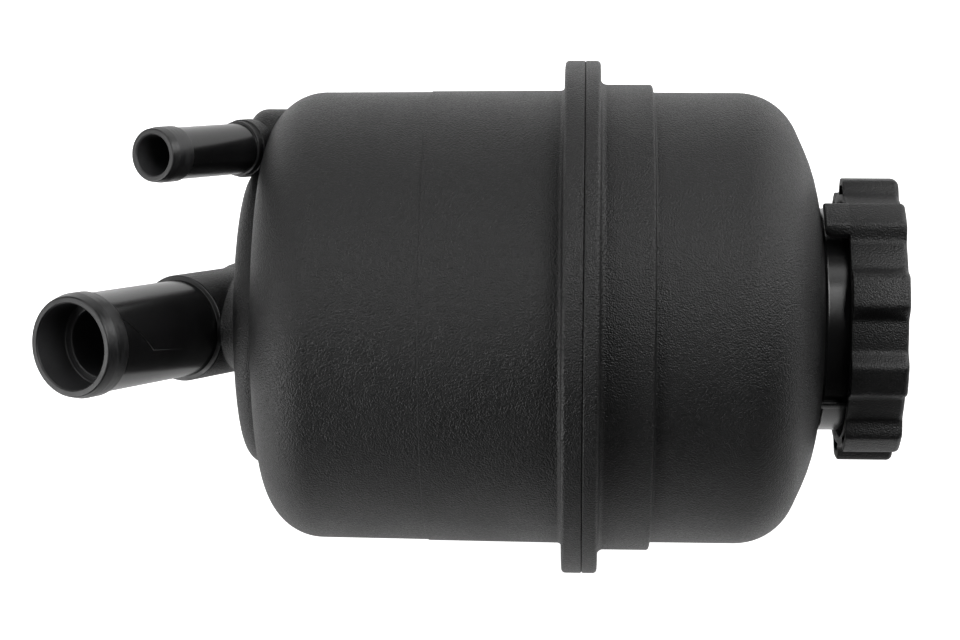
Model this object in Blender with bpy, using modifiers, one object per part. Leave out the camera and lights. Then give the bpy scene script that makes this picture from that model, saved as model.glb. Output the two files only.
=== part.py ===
"""Power steering reservoir.

A plastic can welded from two bowls, with a lobed screw cap that carries the dipstick, two slanted
hose spigots under its floor, and a pleated filter cartridge held down by a spring. Metres, +Z up
along the can's axis. The origin is on the axis, in the plane of the flange's lower face, where the
can hangs in its bracket. Both spigots point to -Y.
"""

import math

import bmesh
import bpy
from mathutils import Matrix, Vector

MM = 0.001

# Clearances and walls
SEAT = 0.3 * MM
WALL = 2.6 * MM
STEPS_LARGE = 38
STEPS_SMALL = 24
COIL_POINTS = 12
ROOT_STEPS = 3
BALL_STEPS = 4
EDGE_FINE = 0.3 * MM
EDGE_SMALL = 0.5 * MM
EDGE_SOFT = 0.8 * MM
FINE_ROUND = 1.0 * MM
JOIN_DEPTH = 2.0 * MM
OVERSHOOT = 1.0 * MM
BROAD_ROUND = 4.0 * MM

# Flange where the two bowls are welded
FLANGE_RADIUS = 50.0 * MM
LOWER_FLANGE = 3.9 * MM
UPPER_FLANGE = 2.95 * MM

# Lower bowl
LOWER_RADIUS = 44.2 * MM
LOWER_DRAFT = 0.4 * MM
SPLIT_DEPTH = 25.8 * MM
SPLIT_STEP = 0.15 * MM
SHOULDER_DEPTH = 46.4 * MM
FOOT_WIDTH = 11.9 * MM
FOOT_DEPTH = 11.2 * MM
DISC_RADIUS = 29.6 * MM
DISC_HEIGHT = 4.7 * MM
DISC_EDGE = 4.2 * MM
GROOVE_WIDTH = 4.7 * MM
GROOVE_DEPTH = 0.5 * MM
DRAFT_STEP = 0.3 * MM
FLOOR_THICKNESS = 2.5 * MM

# Upper bowl
UPPER_RADIUS = 43.9 * MM
BAND_RADIUS = 45.4 * MM
BAND_HEIGHT = 10.05 * MM
BAND_DRAFT = 0.1 * MM
BAND_ROOT = 1.2 * MM
SHOULDER_SLOPE = math.radians(25.0)
SHOULDER_ROUND = 18.0 * MM
CROWN_SLOPE = math.radians(11.5)
CROWN_ROUND = 33.0 * MM
CROWN_EDGE = 29.9 * MM
NECK_RADIUS = 21.6 * MM
NECK_WALL = 3.0 * MM
NECK_ROOT = 49.2 * MM
NECK_HEIGHT = 11.0 * MM
NECK_RIB_WIDTH = 1.6 * MM
NECK_RIB_HEIGHT = 0.9 * MM
NECK_RIB_LENGTH = 8.8 * MM
NECK_RIB_ANGLE = math.radians(-50.0)
NECK_RIBS = 2

# Hose spigots
SPIGOT_TILT = math.radians(29.4)
SUCTION_ELBOW_DEPTH = 61.7 * MM
SUCTION_COLLAR_RADIUS = 9.7 * MM
SUCTION_COLLAR_LENGTH = 22.3 * MM
SUCTION_TUBE_RADIUS = 8.0 * MM
SUCTION_LENGTH = 53.4 * MM
SUCTION_BARB_RADIUS = 9.8 * MM
SUCTION_BARB_LENGTH = 5.2 * MM
SUCTION_TIP_RADIUS = 9.0 * MM
SUCTION_MOUTH_RADIUS = 7.85 * MM
SUCTION_MOUTH_DEPTH = 7.7 * MM
SUCTION_BORE = 6.25 * MM
SUCTION_ROOT_FILLET = 2.5 * MM
BARB_CROWN = 0.3
BARB_STEP = 0.88
ELBOW_MARGIN = 0.25 * MM
RETURN_OFFSET = 33.15 * MM
RETURN_ELBOW_DEPTH = 57.9 * MM
RETURN_COLLAR_RADIUS = 5.15 * MM
RETURN_COLLAR_LENGTH = 10.1 * MM
RETURN_BASE_RADIUS = 5.45 * MM
RETURN_BASE_LENGTH = 8.7 * MM
RETURN_BASE_WIDTH = 3.0 * MM
RETURN_TUBE_RADIUS = 4.3 * MM
RETURN_LENGTH = 35.5 * MM
RETURN_BARB_RADIUS = 5.0 * MM
RETURN_BARB_LENGTH = 6.2 * MM
RETURN_TIP_RADIUS = 4.82 * MM
RETURN_MOUTH_RADIUS = 4.03 * MM
RETURN_MOUTH_DEPTH = 1.0 * MM
RETURN_TAPER = 14.0 * MM
RETURN_BORE = 2.9 * MM
TURRET_RADIUS = 7.3 * MM
TURRET_REACH = 3.4 * MM
TURRET_EDGE = 3.6 * MM

# Screw cap
CAP_LOBES = 10
LOBE_RADIUS = 27.5 * MM
VALLEY_RADIUS = 25.0 * MM
LOBE_PHASE = math.radians(-90.0)
LOBE_SPREAD = 0.33
LOBE_RAMP = 0.18
POCKET_SHARE = 0.17
POCKET_ROOF = 1.0 * MM
CAP_SKIRT = 8.8 * MM
CAP_ROOF = 1.9 * MM
CAP_EDGE = 1.1 * MM
THREAD_ROOM = 1.4 * MM
SLEEVE_WALL = 1.3 * MM
LOBE_WALL = 1.5 * MM
TAB_LENGTH = 4.7 * MM
TAB_WIDTH = 6.4 * MM
TAB_LOBE = 2
TAB_INSET = 0.1 * MM
VENT_SLOT_WIDTH = 4.0 * MM
VENT_SLOT_HEIGHT = 1.6 * MM
SEAL_THICKNESS = 1.6 * MM
SEAL_ROOM = 0.4 * MM

# Vent valve and dipstick socket under the cap
VENT_RING_RADIUS = 14.3 * MM
VENT_RING_WALL = 1.4 * MM
VENT_RING_LIP = 0.9 * MM
PLUG_THICKNESS = 1.5 * MM
VENT_DISC_RADIUS = 11.0 * MM
VENT_DISC_THICKNESS = 1.2 * MM
VENT_SEAT_HEIGHT = 0.8 * MM
VENT_SEAT_WIDTH = 0.8 * MM
VENT_SEAT_INSET = 0.6 * MM
VENT_HOLE_RADIUS = 1.2 * MM
VENT_HOLES = 6
VENT_HOLE_SHIFT = 0.4 * MM
VENT_SPRING_RADIUS = 6.0 * MM
VENT_SPRING_HEIGHT = 3.5 * MM
VENT_WIRE = 0.3 * MM
VENT_TURNS = 2.5
SOCKET_RADIUS = 3.6 * MM
SOCKET_WALL = 1.4 * MM
SOCKET_LIP = 1.0 * MM
HEAD_HEIGHT = 2.7 * MM
STEM_RADIUS = 1.9 * MM
STEM_LENGTH = 6.0 * MM
STEM_ROOM = 0.5 * MM
BLADE_WIDTH = 5.0 * MM
BLADE_THICKNESS = 2.2 * MM
BLADE_END = -4.0 * MM
NOTCH_WIDTH = 1.4 * MM
NOTCH_DEPTH = 0.8 * MM
MARK_LEVELS = (2.0 * MM, 12.0 * MM)

# Baffle plate clamped at the weld
BAFFLE_RADIUS = 42.7 * MM
BAFFLE_THICKNESS = 1.8 * MM
BAFFLE_HOLES = 8
BAFFLE_HOLE_RADIUS = 4.0 * MM
BAFFLE_HOLE_CIRCLE = 30.0 * MM
GUIDE_BORE = 6.0 * MM
GUIDE_WALL = 1.4 * MM
GUIDE_HEIGHT = 12.0 * MM
LOCATOR_HEIGHT = 1.2 * MM
LOCATOR_WALL = 1.2 * MM

# Filter cartridge on the outlet stub
STUB_WALL = 3.15 * MM
STUB_HEIGHT = 9.0 * MM
END_CAP_LIFT = 9.8 * MM
END_CAP_RADIUS = 25.9 * MM
END_CAP_THICKNESS = 1.5 * MM
END_CAP_RIM = 2.5 * MM
END_CAP_RIM_WALL = 1.2 * MM
END_CAP_HOLE = 7.2 * MM
FILTER_SEAL_WIDTH = 1.9 * MM
FILTER_SEAL_HEIGHT = 4.5 * MM
FILTER_COLLAR_WALL = 1.2 * MM
PAPER_HEIGHT = 35.1 * MM
PAPER_THICKNESS = 0.7 * MM
PLEATS = 28
PLEAT_TURN = 1.3 * MM
CORE_RADIUS = 11.5 * MM
CORE_WALL = 1.0 * MM
CORE_COLUMNS = 6
CORE_ROWS = 4
WINDOW_WIDTH = 7.0 * MM
WINDOW_HEIGHT = 6.4 * MM

# Bypass valve in the cartridge's upper end cap
BYPASS_HOLE = 4.6 * MM
BYPASS_DISC_RADIUS = 6.9 * MM
BYPASS_DISC_THICKNESS = 1.2 * MM
GASKET_WIDTH = 1.4 * MM
GASKET_INSET = 0.1 * MM
GASKET_THICKNESS = 0.8 * MM
BYPASS_STEM_RADIUS = 1.4 * MM
BYPASS_STEM_LENGTH = 7.2 * MM
BYPASS_SPRING_RADIUS = 4.6 * MM
BYPASS_SPRING_HEIGHT = 7.7 * MM
BYPASS_WIRE = 0.4 * MM
BYPASS_TURNS = 3.5
CAGE_BORE = 7.6 * MM
CAGE_WALL = 1.1 * MM
CAGE_FLANGE = 1.2 * MM
CAGE_FLOOR = 1.5 * MM
CAGE_WINDOWS = 3
CAGE_WINDOW_WIDTH = 5.0 * MM
CAGE_WINDOW_HEIGHT = 5.0 * MM

# Spring that holds the cartridge down
HOLD_SPRING_RADIUS = 15.0 * MM
HOLD_WIRE = 0.7 * MM
HOLD_TURNS = 3.5
SPRING_SEAT_WIDTH = 5.0 * MM
SPRING_SEAT_THICKNESS = 0.8 * MM
SPRING_RING_STAND = 0.4 * MM

# Heights that follow from the sizes above
SEAM_BOTTOM = LOWER_FLANGE - SEAT / 2
SEAM_TOP = LOWER_FLANGE + SEAT / 2
FLANGE_TOP = LOWER_FLANGE + UPPER_FLANGE
NECK_TOP = NECK_ROOT + NECK_HEIGHT
CAP_UNDERSIDE = NECK_TOP + SEAL_THICKNESS + 2 * SEAT
CAP_TOP = CAP_UNDERSIDE + CAP_ROOF
CAP_RIM = CAP_UNDERSIDE - CAP_SKIRT
SLEEVE_BORE = NECK_RADIUS + THREAD_ROOM
VENT_DISC_TOP = CAP_UNDERSIDE - VENT_SPRING_HEIGHT - 2 * SEAT
VENT_DISC_BOTTOM = VENT_DISC_TOP - VENT_DISC_THICKNESS
PLUG_TOP = VENT_DISC_BOTTOM - SEAT - VENT_SEAT_HEIGHT
PLUG_BOTTOM = PLUG_TOP - PLUG_THICKNESS
HEAD_TOP = PLUG_BOTTOM - SEAT
HEAD_BOTTOM = HEAD_TOP - HEAD_HEIGHT
FOOT_CENTRE_RADIUS = LOWER_RADIUS - LOWER_DRAFT - SPLIT_STEP - FOOT_WIDTH
GROOVE_OUTER = DISC_RADIUS + GROOVE_WIDTH
FOOT_ANGLE = math.acos((GROOVE_OUTER - FOOT_CENTRE_RADIUS) / FOOT_WIDTH)
FOOT_BOTTOM = -SHOULDER_DEPTH - FOOT_DEPTH * math.sin(FOOT_ANGLE)
GROOVE_FLOOR = FOOT_BOTTOM + GROOVE_DEPTH
DISC_FACE = GROOVE_FLOOR - DISC_HEIGHT
FLOOR = DISC_FACE + FLOOR_THICKNESS
TURRET_DEPTH = RETURN_ELBOW_DEPTH + TURRET_REACH
STUB_RADIUS = SUCTION_BORE + STUB_WALL
STUB_TOP = FLOOR + STUB_HEIGHT
LOWER_CAP_BOTTOM = FLOOR + END_CAP_LIFT
LOWER_CAP_TOP = LOWER_CAP_BOTTOM + END_CAP_THICKNESS
PAPER_BOTTOM = LOWER_CAP_TOP + SEAT
PAPER_TOP = PAPER_BOTTOM + PAPER_HEIGHT
UPPER_CAP_BOTTOM = PAPER_TOP + SEAT
UPPER_CAP_TOP = UPPER_CAP_BOTTOM + END_CAP_THICKNESS
SPRING_SEAT_TOP = UPPER_CAP_TOP + SEAT + SPRING_SEAT_THICKNESS
BAFFLE_TOP = SEAM_TOP - SEAT
BAFFLE_BOTTOM = BAFFLE_TOP - BAFFLE_THICKNESS
GASKET_TOP = UPPER_CAP_BOTTOM - SEAT
BYPASS_DISC_TOP = GASKET_TOP - GASKET_THICKNESS - SEAT
BYPASS_DISC_BOTTOM = BYPASS_DISC_TOP - BYPASS_DISC_THICKNESS
CAGE_FLOOR_TOP = BYPASS_DISC_BOTTOM - BYPASS_SPRING_HEIGHT - 2 * SEAT

# Colour, roughness and metallic value of each kind of material
SHELL_PLASTIC = ((0.022, 0.022, 0.023), 0.62, 0.0)
CAP_PLASTIC = ((0.020, 0.020, 0.021), 0.50, 0.0)
INNER_PLASTIC = ((0.035, 0.035, 0.036), 0.45, 0.0)
PALE_PLASTIC = ((0.55, 0.54, 0.50), 0.45, 0.0)
RUBBER = ((0.015, 0.015, 0.015), 0.80, 0.0)
PAPER = ((0.62, 0.45, 0.20), 0.90, 0.0)
SPRING_STEEL = ((0.45, 0.45, 0.46), 0.30, 1.0)
ZINC_PLATE = ((0.55, 0.55, 0.54), 0.40, 1.0)


def clear_scene():
    """Removes every object, so that the model starts from nothing."""
    for item in list(bpy.data.objects):
        bpy.data.objects.remove(item, do_unlink=True)


def new_collection(name):
    collection = bpy.data.collections.new(name)
    bpy.context.scene.collection.children.link(collection)
    return collection


def add_object(name, data, tool=False):
    """Adds an object to the model, or to the tools if it only cuts or joins."""
    item = bpy.data.objects.new(name, data)
    (TOOLS if tool else MODEL).objects.link(item)
    if tool:
        item.hide_render = True
        item.display_type = "WIRE"
    return item


def arc_steps(turn, radius):
    """Facets of an arc: one for a broken edge, more for a larger round."""
    facet = 90 if radius < FINE_ROUND else 45 if radius < BROAD_ROUND else 15
    return max(1, math.ceil(abs(turn) / math.radians(facet) - 0.01))


def round_corners(corners, closed=True):
    """Turns (radius, height, rounding) corners into points, with an arc at each rounded corner."""
    points = []
    count = len(corners)
    for index, (r, z, rounding) in enumerate(corners):
        corner = Vector((r, z))
        if rounding == 0 or (not closed and index in (0, count - 1)):
            points.append(corner)
            continue
        before = Vector(corners[index - 1][:2]) - corner
        after = Vector(corners[(index + 1) % count][:2]) - corner
        half = before.angle(after) / 2
        reach = min(rounding / math.tan(half), 0.49 * before.length, 0.49 * after.length)
        start = corner + before.normalized() * reach
        end = corner + after.normalized() * reach
        radius = reach * math.tan(half)
        centre = corner + (before.normalized() + after.normalized()).normalized() * radius / math.sin(half)
        turn = (start - centre).angle_signed(end - centre)
        steps = arc_steps(turn, radius)
        for step in range(steps + 1):
            points.append(centre + Matrix.Rotation(-turn * step / steps, 2) @ (start - centre))
    return points


def arc(centre_r, centre_z, width, height, last, steps):
    """Points of an oval arc, from the outward direction to an angle below it."""
    angles = [-last * step / steps for step in range(steps + 1)]
    return [Vector((centre_r + width * math.cos(a), centre_z + height * math.sin(a))) for a in angles]


def turned(name, points, closed=True, steps=STEPS_SMALL, tool=False):
    """Turns a profile round Z. It runs down its outer side, then back up its inner side."""
    mesh = bpy.data.meshes.new(name)
    edges = [(index, index + 1) for index in range(len(points) - 1)]
    if closed:
        edges.append((len(points) - 1, 0))
    mesh.from_pydata([(point[0], 0, point[1]) for point in points], edges, [])
    item = add_object(name, mesh, tool)
    screw = item.modifiers.new("Turn", "SCREW")
    screw.angle = math.tau
    screw.steps = steps
    screw.render_steps = steps
    screw.use_merge_vertices = True
    screw.merge_threshold = 0.00001
    return item


def turned_corners(name, corners, steps=STEPS_SMALL, tool=False):
    """A closed ring from rounded corners."""
    return turned(name, round_corners(corners), True, steps, tool)


def as_mesh(curve, name, tool=False):
    """Replaces a curve object by its mesh, with the loose caps welded."""
    bpy.context.view_layer.update()
    evaluated = curve.evaluated_get(bpy.context.evaluated_depsgraph_get())
    mesh = bpy.data.meshes.new_from_object(evaluated)
    shape = bmesh.new()
    shape.from_mesh(mesh)
    bmesh.ops.remove_doubles(shape, verts=shape.verts, dist=0.000005)
    shape.to_mesh(mesh)
    shape.free()
    item = add_object(name, mesh, tool)
    item.matrix_world = curve.matrix_world
    bpy.data.objects.remove(curve, do_unlink=True)
    return item


def prism(name, outline, bottom, top, tool=False):
    """A flat outline in X and Y, drawn up from one height to another."""
    curve = bpy.data.curves.new(name + "_outline", "CURVE")
    curve.dimensions = "2D"
    curve.fill_mode = "BOTH"
    curve.extrude = (top - bottom) / 2
    spline = curve.splines.new("POLY")
    spline.points.add(len(outline) - 1)
    for point, (x, y) in zip(spline.points, outline):
        point.co = (x, y, 0, 1)
    spline.use_cyclic_u = True
    item = add_object(name + "_outline", curve)
    item.location.z = (top + bottom) / 2
    solid = as_mesh(item, name, tool)
    merge_flat_faces(solid.data)
    return solid


def box(name, size, location, turn=0.0, tool=False):
    """A box of full sizes, turned about the can's axis."""
    shape = bmesh.new()
    bmesh.ops.create_cube(shape, size=1)
    bmesh.ops.scale(shape, vec=size, verts=shape.verts)
    bmesh.ops.translate(shape, vec=location, verts=shape.verts)
    bmesh.ops.rotate(shape, cent=(0, 0, 0), matrix=Matrix.Rotation(turn, 3, "Z"), verts=shape.verts)
    mesh = bpy.data.meshes.new(name)
    shape.to_mesh(mesh)
    shape.free()
    return add_object(name, mesh, tool)


def cylinder(name, radius, bottom, top, location=(0, 0), sides=16, tool=False):
    shape = bmesh.new()
    place = Matrix.Translation((location[0], location[1], (bottom + top) / 2))
    bmesh.ops.create_cone(shape, cap_ends=True, segments=sides, radius1=radius, radius2=radius,
                          depth=top - bottom, matrix=place)
    mesh = bpy.data.meshes.new(name)
    shape.to_mesh(mesh)
    shape.free()
    return add_object(name, mesh, tool)


def combine(item, other, operation):
    """Joins another solid to this one, or cuts it away."""
    modifier = item.modifiers.new(other.name, "BOOLEAN")
    modifier.object = other
    modifier.operation = operation
    modifier.solver = "EXACT"


def cut(item, *others):
    for other in others:
        combine(item, other, "DIFFERENCE")


def join(item, *others):
    for other in others:
        combine(item, other, "UNION")


def coil_bore(radius, wire):
    """Radius of the free space inside a coil, at the middles of its facets."""
    return radius * math.cos(math.pi / COIL_POINTS) - wire


def coil(name, radius, wire, low, high, turns):
    """A compression spring between two faces, with a closed half turn at each end."""
    dead = 0.5
    total = turns + 2 * dead
    count = round(total * COIL_POINTS)
    bottom = low + wire
    top = high - wire
    curve = bpy.data.curves.new(name + "_path", "CURVE")
    curve.dimensions = "3D"
    curve.bevel_depth = wire
    curve.bevel_resolution = 2
    curve.use_fill_caps = True
    spline = curve.splines.new("POLY")
    spline.points.add(count)
    for index, point in enumerate(spline.points):
        turn = total * index / count
        share = min(max((turn - dead) / turns, 0), 1)
        angle = math.tau * turn
        height = bottom + (top - bottom) * share
        point.co = (radius * math.cos(angle), radius * math.sin(angle), height, 1)
    return as_mesh(add_object(name + "_path", curve), name)


def merge_flat_faces(mesh):
    """Joins faces that lie in one plane, and drops the points left along their straight edges."""
    shape = bmesh.new()
    shape.from_mesh(mesh)
    bmesh.ops.dissolve_limit(shape, angle_limit=math.radians(0.02), verts=shape.verts, edges=shape.edges)
    shape.to_mesh(mesh)
    shape.free()


def finish(item, look, sharp=math.radians(30)):
    """Bakes the modifiers, shades the round faces smooth and gives the piece its own material."""
    bpy.context.view_layer.update()
    evaluated = item.evaluated_get(bpy.context.evaluated_depsgraph_get())
    mesh = bpy.data.meshes.new_from_object(evaluated)
    merge_flat_faces(mesh)
    item.modifiers.clear()
    item.data = mesh
    mesh.name = item.name
    mesh.shade_smooth()
    mesh.set_sharp_from_angle(angle=sharp)
    material = bpy.data.materials.new(item.name)
    material.use_nodes = True
    shader = material.node_tree.nodes["Principled BSDF"]
    colour, roughness, metallic = look
    shader.inputs["Base Color"].default_value = (*colour, 1)
    shader.inputs["Roughness"].default_value = roughness
    shader.inputs["Metallic"].default_value = metallic
    mesh.materials.clear()
    mesh.materials.append(material)
    return item


def spigot(name, x, elbow_depth, outer, bore, steps):
    """Places a turned spigot and its bore along the slanted axis through their elbow."""
    tilt = Matrix.Rotation(math.pi / 2 + SPIGOT_TILT, 4, "X")
    place = Matrix.Translation((x, 0, -elbow_depth)) @ tilt
    body = turned(name, outer, False, steps, True)
    hole = turned(name + "_bore", bore, False, steps, True)
    body.matrix_world = place
    hole.matrix_world = place @ Matrix.Rotation(math.pi / steps, 4, "Z")
    return body, hole


def spigot_outline(collar, tube, length, barb, barb_length, tip, base=()):
    """Outer profile of a spigot from its tip to the elbow: barb, tube and collar."""
    collar_radius, collar_length = collar
    return round_corners([
        (0, length, 0),
        (tip, length, EDGE_FINE),
        (barb, length - BARB_CROWN * barb_length, EDGE_SMALL),
        (barb, length - BARB_STEP * barb_length, EDGE_FINE),
        (tube, length - barb_length, 0),
        (tube, collar_length, EDGE_FINE),
        (collar_radius, collar_length, EDGE_FINE),
        *base,
        (collar_radius, 0, 0),
        (0, 0, 0),
    ], False)


def bore_outline(mouth, mouth_depth, taper, bore, length):
    """Profile of the cutter for a spigot's bore, from outside its mouth to the middle of its elbow."""
    return round_corners([
        (0, length + OVERSHOOT, 0),
        (mouth, length + OVERSHOOT, 0),
        (mouth, length - mouth_depth, 0),
        (bore, length - mouth_depth - taper, 0),
        (bore, 0, 0),
        (0, 0, 0),
    ], False)


def ball_end(radius, height, steps):
    """Points of a hemisphere's outline, from its equator down to the axis."""
    points = arc(0, height, radius, radius, math.pi / 2, steps)
    points[-1].x = 0
    return points


def suction_spigot():
    outer = spigot_outline((SUCTION_COLLAR_RADIUS, SUCTION_COLLAR_LENGTH), SUCTION_TUBE_RADIUS,
                           SUCTION_LENGTH, SUCTION_BARB_RADIUS, SUCTION_BARB_LENGTH, SUCTION_TIP_RADIUS)
    bore = bore_outline(SUCTION_MOUTH_RADIUS, SUCTION_MOUTH_DEPTH, 0, SUCTION_BORE, SUCTION_LENGTH)
    return spigot("suction_spigot", 0, SUCTION_ELBOW_DEPTH, outer, bore, STEPS_SMALL)


def return_spigot():
    base = (
        (RETURN_COLLAR_RADIUS, RETURN_BASE_LENGTH, 0),
        (RETURN_BASE_RADIUS, RETURN_BASE_LENGTH, EDGE_FINE),
        (RETURN_BASE_RADIUS, RETURN_BASE_LENGTH - RETURN_BASE_WIDTH, 0),
        (RETURN_COLLAR_RADIUS, RETURN_BASE_LENGTH - RETURN_BASE_WIDTH, 0),
    )
    outer = spigot_outline((RETURN_COLLAR_RADIUS, RETURN_COLLAR_LENGTH), RETURN_TUBE_RADIUS, RETURN_LENGTH,
                           RETURN_BARB_RADIUS, RETURN_BARB_LENGTH, RETURN_TIP_RADIUS, base)
    bore = bore_outline(RETURN_MOUTH_RADIUS, RETURN_MOUTH_DEPTH, RETURN_TAPER, RETURN_BORE, RETURN_LENGTH)
    return spigot("return_spigot", -RETURN_OFFSET, RETURN_ELBOW_DEPTH, outer, bore, STEPS_SMALL)


def lower_bowl_outside():
    """Outside of the lower bowl: flange, drafted wall, shoulder, groove, floor disc and outlet elbow."""
    ball_radius = SUCTION_COLLAR_RADIUS + ELBOW_MARGIN
    split = LOWER_RADIUS - LOWER_DRAFT * SPLIT_DEPTH / SHOULDER_DEPTH
    upper = round_corners([
        (0, SEAM_BOTTOM, 0),
        (FLANGE_RADIUS, SEAM_BOTTOM, EDGE_FINE),
        (FLANGE_RADIUS, 0, EDGE_SOFT),
        (LOWER_RADIUS, 0, EDGE_SOFT),
        (split, -SPLIT_DEPTH, 0),
        (split - SPLIT_STEP, -SPLIT_DEPTH - SPLIT_STEP, 0),
    ], False)
    shoulder = arc(FOOT_CENTRE_RADIUS, -SHOULDER_DEPTH, FOOT_WIDTH, FOOT_DEPTH, FOOT_ANGLE, 5)
    groove = [
        Vector((GROOVE_OUTER - DRAFT_STEP, GROOVE_FLOOR)),
        Vector((DISC_RADIUS, GROOVE_FLOOR)),
    ]
    disc = arc(DISC_RADIUS - DISC_EDGE, DISC_FACE + DISC_EDGE, DISC_EDGE, DISC_EDGE, math.pi / 2, 5)
    return upper + shoulder + groove + disc + ball_root(ball_radius)


def ball_root(radius):
    """Concave root that runs from the disc's face into the outlet elbow's ball, and the ball below it."""
    drop = DISC_FACE - SUCTION_ROOT_FILLET + SUCTION_ELBOW_DEPTH
    reach = math.sqrt((radius + SUCTION_ROOT_FILLET) ** 2 - drop ** 2)
    meet = math.atan2(-drop, reach)
    points = []
    for step in range(ROOT_STEPS + 1):
        angle = math.pi / 2 + (math.pi / 2 - meet) * step / ROOT_STEPS
        points.append(Vector((reach + SUCTION_ROOT_FILLET * math.cos(angle),
                              DISC_FACE - SUCTION_ROOT_FILLET + SUCTION_ROOT_FILLET * math.sin(angle))))
    for step in range(1, BALL_STEPS + 1):
        angle = -meet - (math.pi / 2 - meet) * step / BALL_STEPS
        points.append(Vector((radius * math.cos(angle), radius * math.sin(angle) - SUCTION_ELBOW_DEPTH)))
    points[-1].x = 0
    return points


def lower_bowl_inside():
    """Inside of the lower bowl, with the baffle's rebate, the outlet stub and the bore to the elbow."""
    wall = LOWER_RADIUS - WALL
    foot = WALL - SHOULDER_DEPTH - FOOT_DEPTH
    recess = DISC_RADIUS - WALL
    bore = SUCTION_BORE + ELBOW_MARGIN
    upper = round_corners([
        (0, SEAM_BOTTOM + OVERSHOOT, 0),
        (BAFFLE_RADIUS + SEAT, SEAM_BOTTOM + OVERSHOOT, 0),
        (BAFFLE_RADIUS + SEAT, BAFFLE_BOTTOM - SEAT, 0),
        (wall, BAFFLE_BOTTOM - SEAT, 0),
    ], False)
    shoulder = arc(FOOT_CENTRE_RADIUS, -SHOULDER_DEPTH, FOOT_WIDTH - WALL, FOOT_DEPTH - WALL, math.pi / 2, 5)
    floor = round_corners([
        (FOOT_CENTRE_RADIUS, foot, 0),
        (recess, foot, EDGE_SMALL),
        (recess - DRAFT_STEP, FLOOR, DISC_EDGE - WALL),
        (STUB_RADIUS, FLOOR, EDGE_SOFT),
        (STUB_RADIUS, STUB_TOP, EDGE_SMALL),
        (bore, STUB_TOP, EDGE_SMALL),
        (bore, -SUCTION_ELBOW_DEPTH, 0),
    ], False)
    return upper + shoulder + floor[1:-1] + ball_end(bore, -SUCTION_ELBOW_DEPTH, 3)


def make_lower_shell():
    """Lower bowl with both hose spigots, moulded in one piece."""
    shell = turned("lower_shell", lower_bowl_outside(), False, STEPS_LARGE)
    turret = turned("return_turret", round_corners([
        (0, JOIN_DEPTH - SHOULDER_DEPTH, 0),
        (TURRET_RADIUS, JOIN_DEPTH - SHOULDER_DEPTH, 0),
        (TURRET_RADIUS, -TURRET_DEPTH, TURRET_EDGE),
        (0, -TURRET_DEPTH, 0),
    ], False), False, STEPS_SMALL, True)
    elbow = turned("return_elbow", [
        Vector((0, FOOT_DEPTH / 2 - RETURN_ELBOW_DEPTH)),
        Vector((RETURN_COLLAR_RADIUS + ELBOW_MARGIN, FOOT_DEPTH / 2 - RETURN_ELBOW_DEPTH)),
        *ball_end(RETURN_COLLAR_RADIUS + ELBOW_MARGIN, -RETURN_ELBOW_DEPTH, 4),
    ], False, STEPS_SMALL, True)
    elbow.location.x = -RETURN_OFFSET
    elbow.rotation_euler.z = math.pi / STEPS_SMALL
    turret.location.x = -RETURN_OFFSET
    suction, suction_bore = suction_spigot()
    back, back_bore = return_spigot()
    cavity = turned("lower_cavity", lower_bowl_inside(), False, STEPS_LARGE, True)
    inlet = turned("return_inlet", [
        Vector((0, -SHOULDER_DEPTH - FOOT_DEPTH / 2)),
        Vector((RETURN_BORE + ELBOW_MARGIN, -SHOULDER_DEPTH - FOOT_DEPTH / 2)),
        *ball_end(RETURN_BORE + ELBOW_MARGIN, -RETURN_ELBOW_DEPTH, 3),
    ], False, STEPS_SMALL, True)
    inlet.location.x = -RETURN_OFFSET
    inlet.rotation_euler.z = math.pi / STEPS_SMALL
    join(shell, turret, elbow, suction, back)
    cut(shell, cavity, suction_bore, back_bore, inlet)
    return finish(shell, SHELL_PLASTIC)


def dome_corners(offset):
    """Corners of the dome's crown and shoulder, moved in by a wall's thickness."""
    crown_z = NECK_ROOT - offset / math.cos(CROWN_SLOPE)
    edge_z = NECK_ROOT - math.tan(CROWN_SLOPE) * (CROWN_EDGE - NECK_RADIUS)
    slope_z = edge_z - offset / math.cos(SHOULDER_SLOPE)
    crown = math.tan(CROWN_SLOPE)
    slope = math.tan(SHOULDER_SLOPE)
    edge = (slope_z + slope * CROWN_EDGE - crown_z - crown * NECK_RADIUS) / (slope - crown)
    wall = UPPER_RADIUS - offset
    root_r = NECK_RADIUS if offset == 0 else NECK_RADIUS - NECK_WALL
    root_z = crown_z - crown * (root_r - NECK_RADIUS)
    return [
        (root_r, root_z, EDGE_SOFT),
        (edge, crown_z - crown * (edge - NECK_RADIUS), CROWN_ROUND - offset),
        (wall, slope_z - slope * (wall - CROWN_EDGE), SHOULDER_ROUND - offset),
    ]


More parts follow.
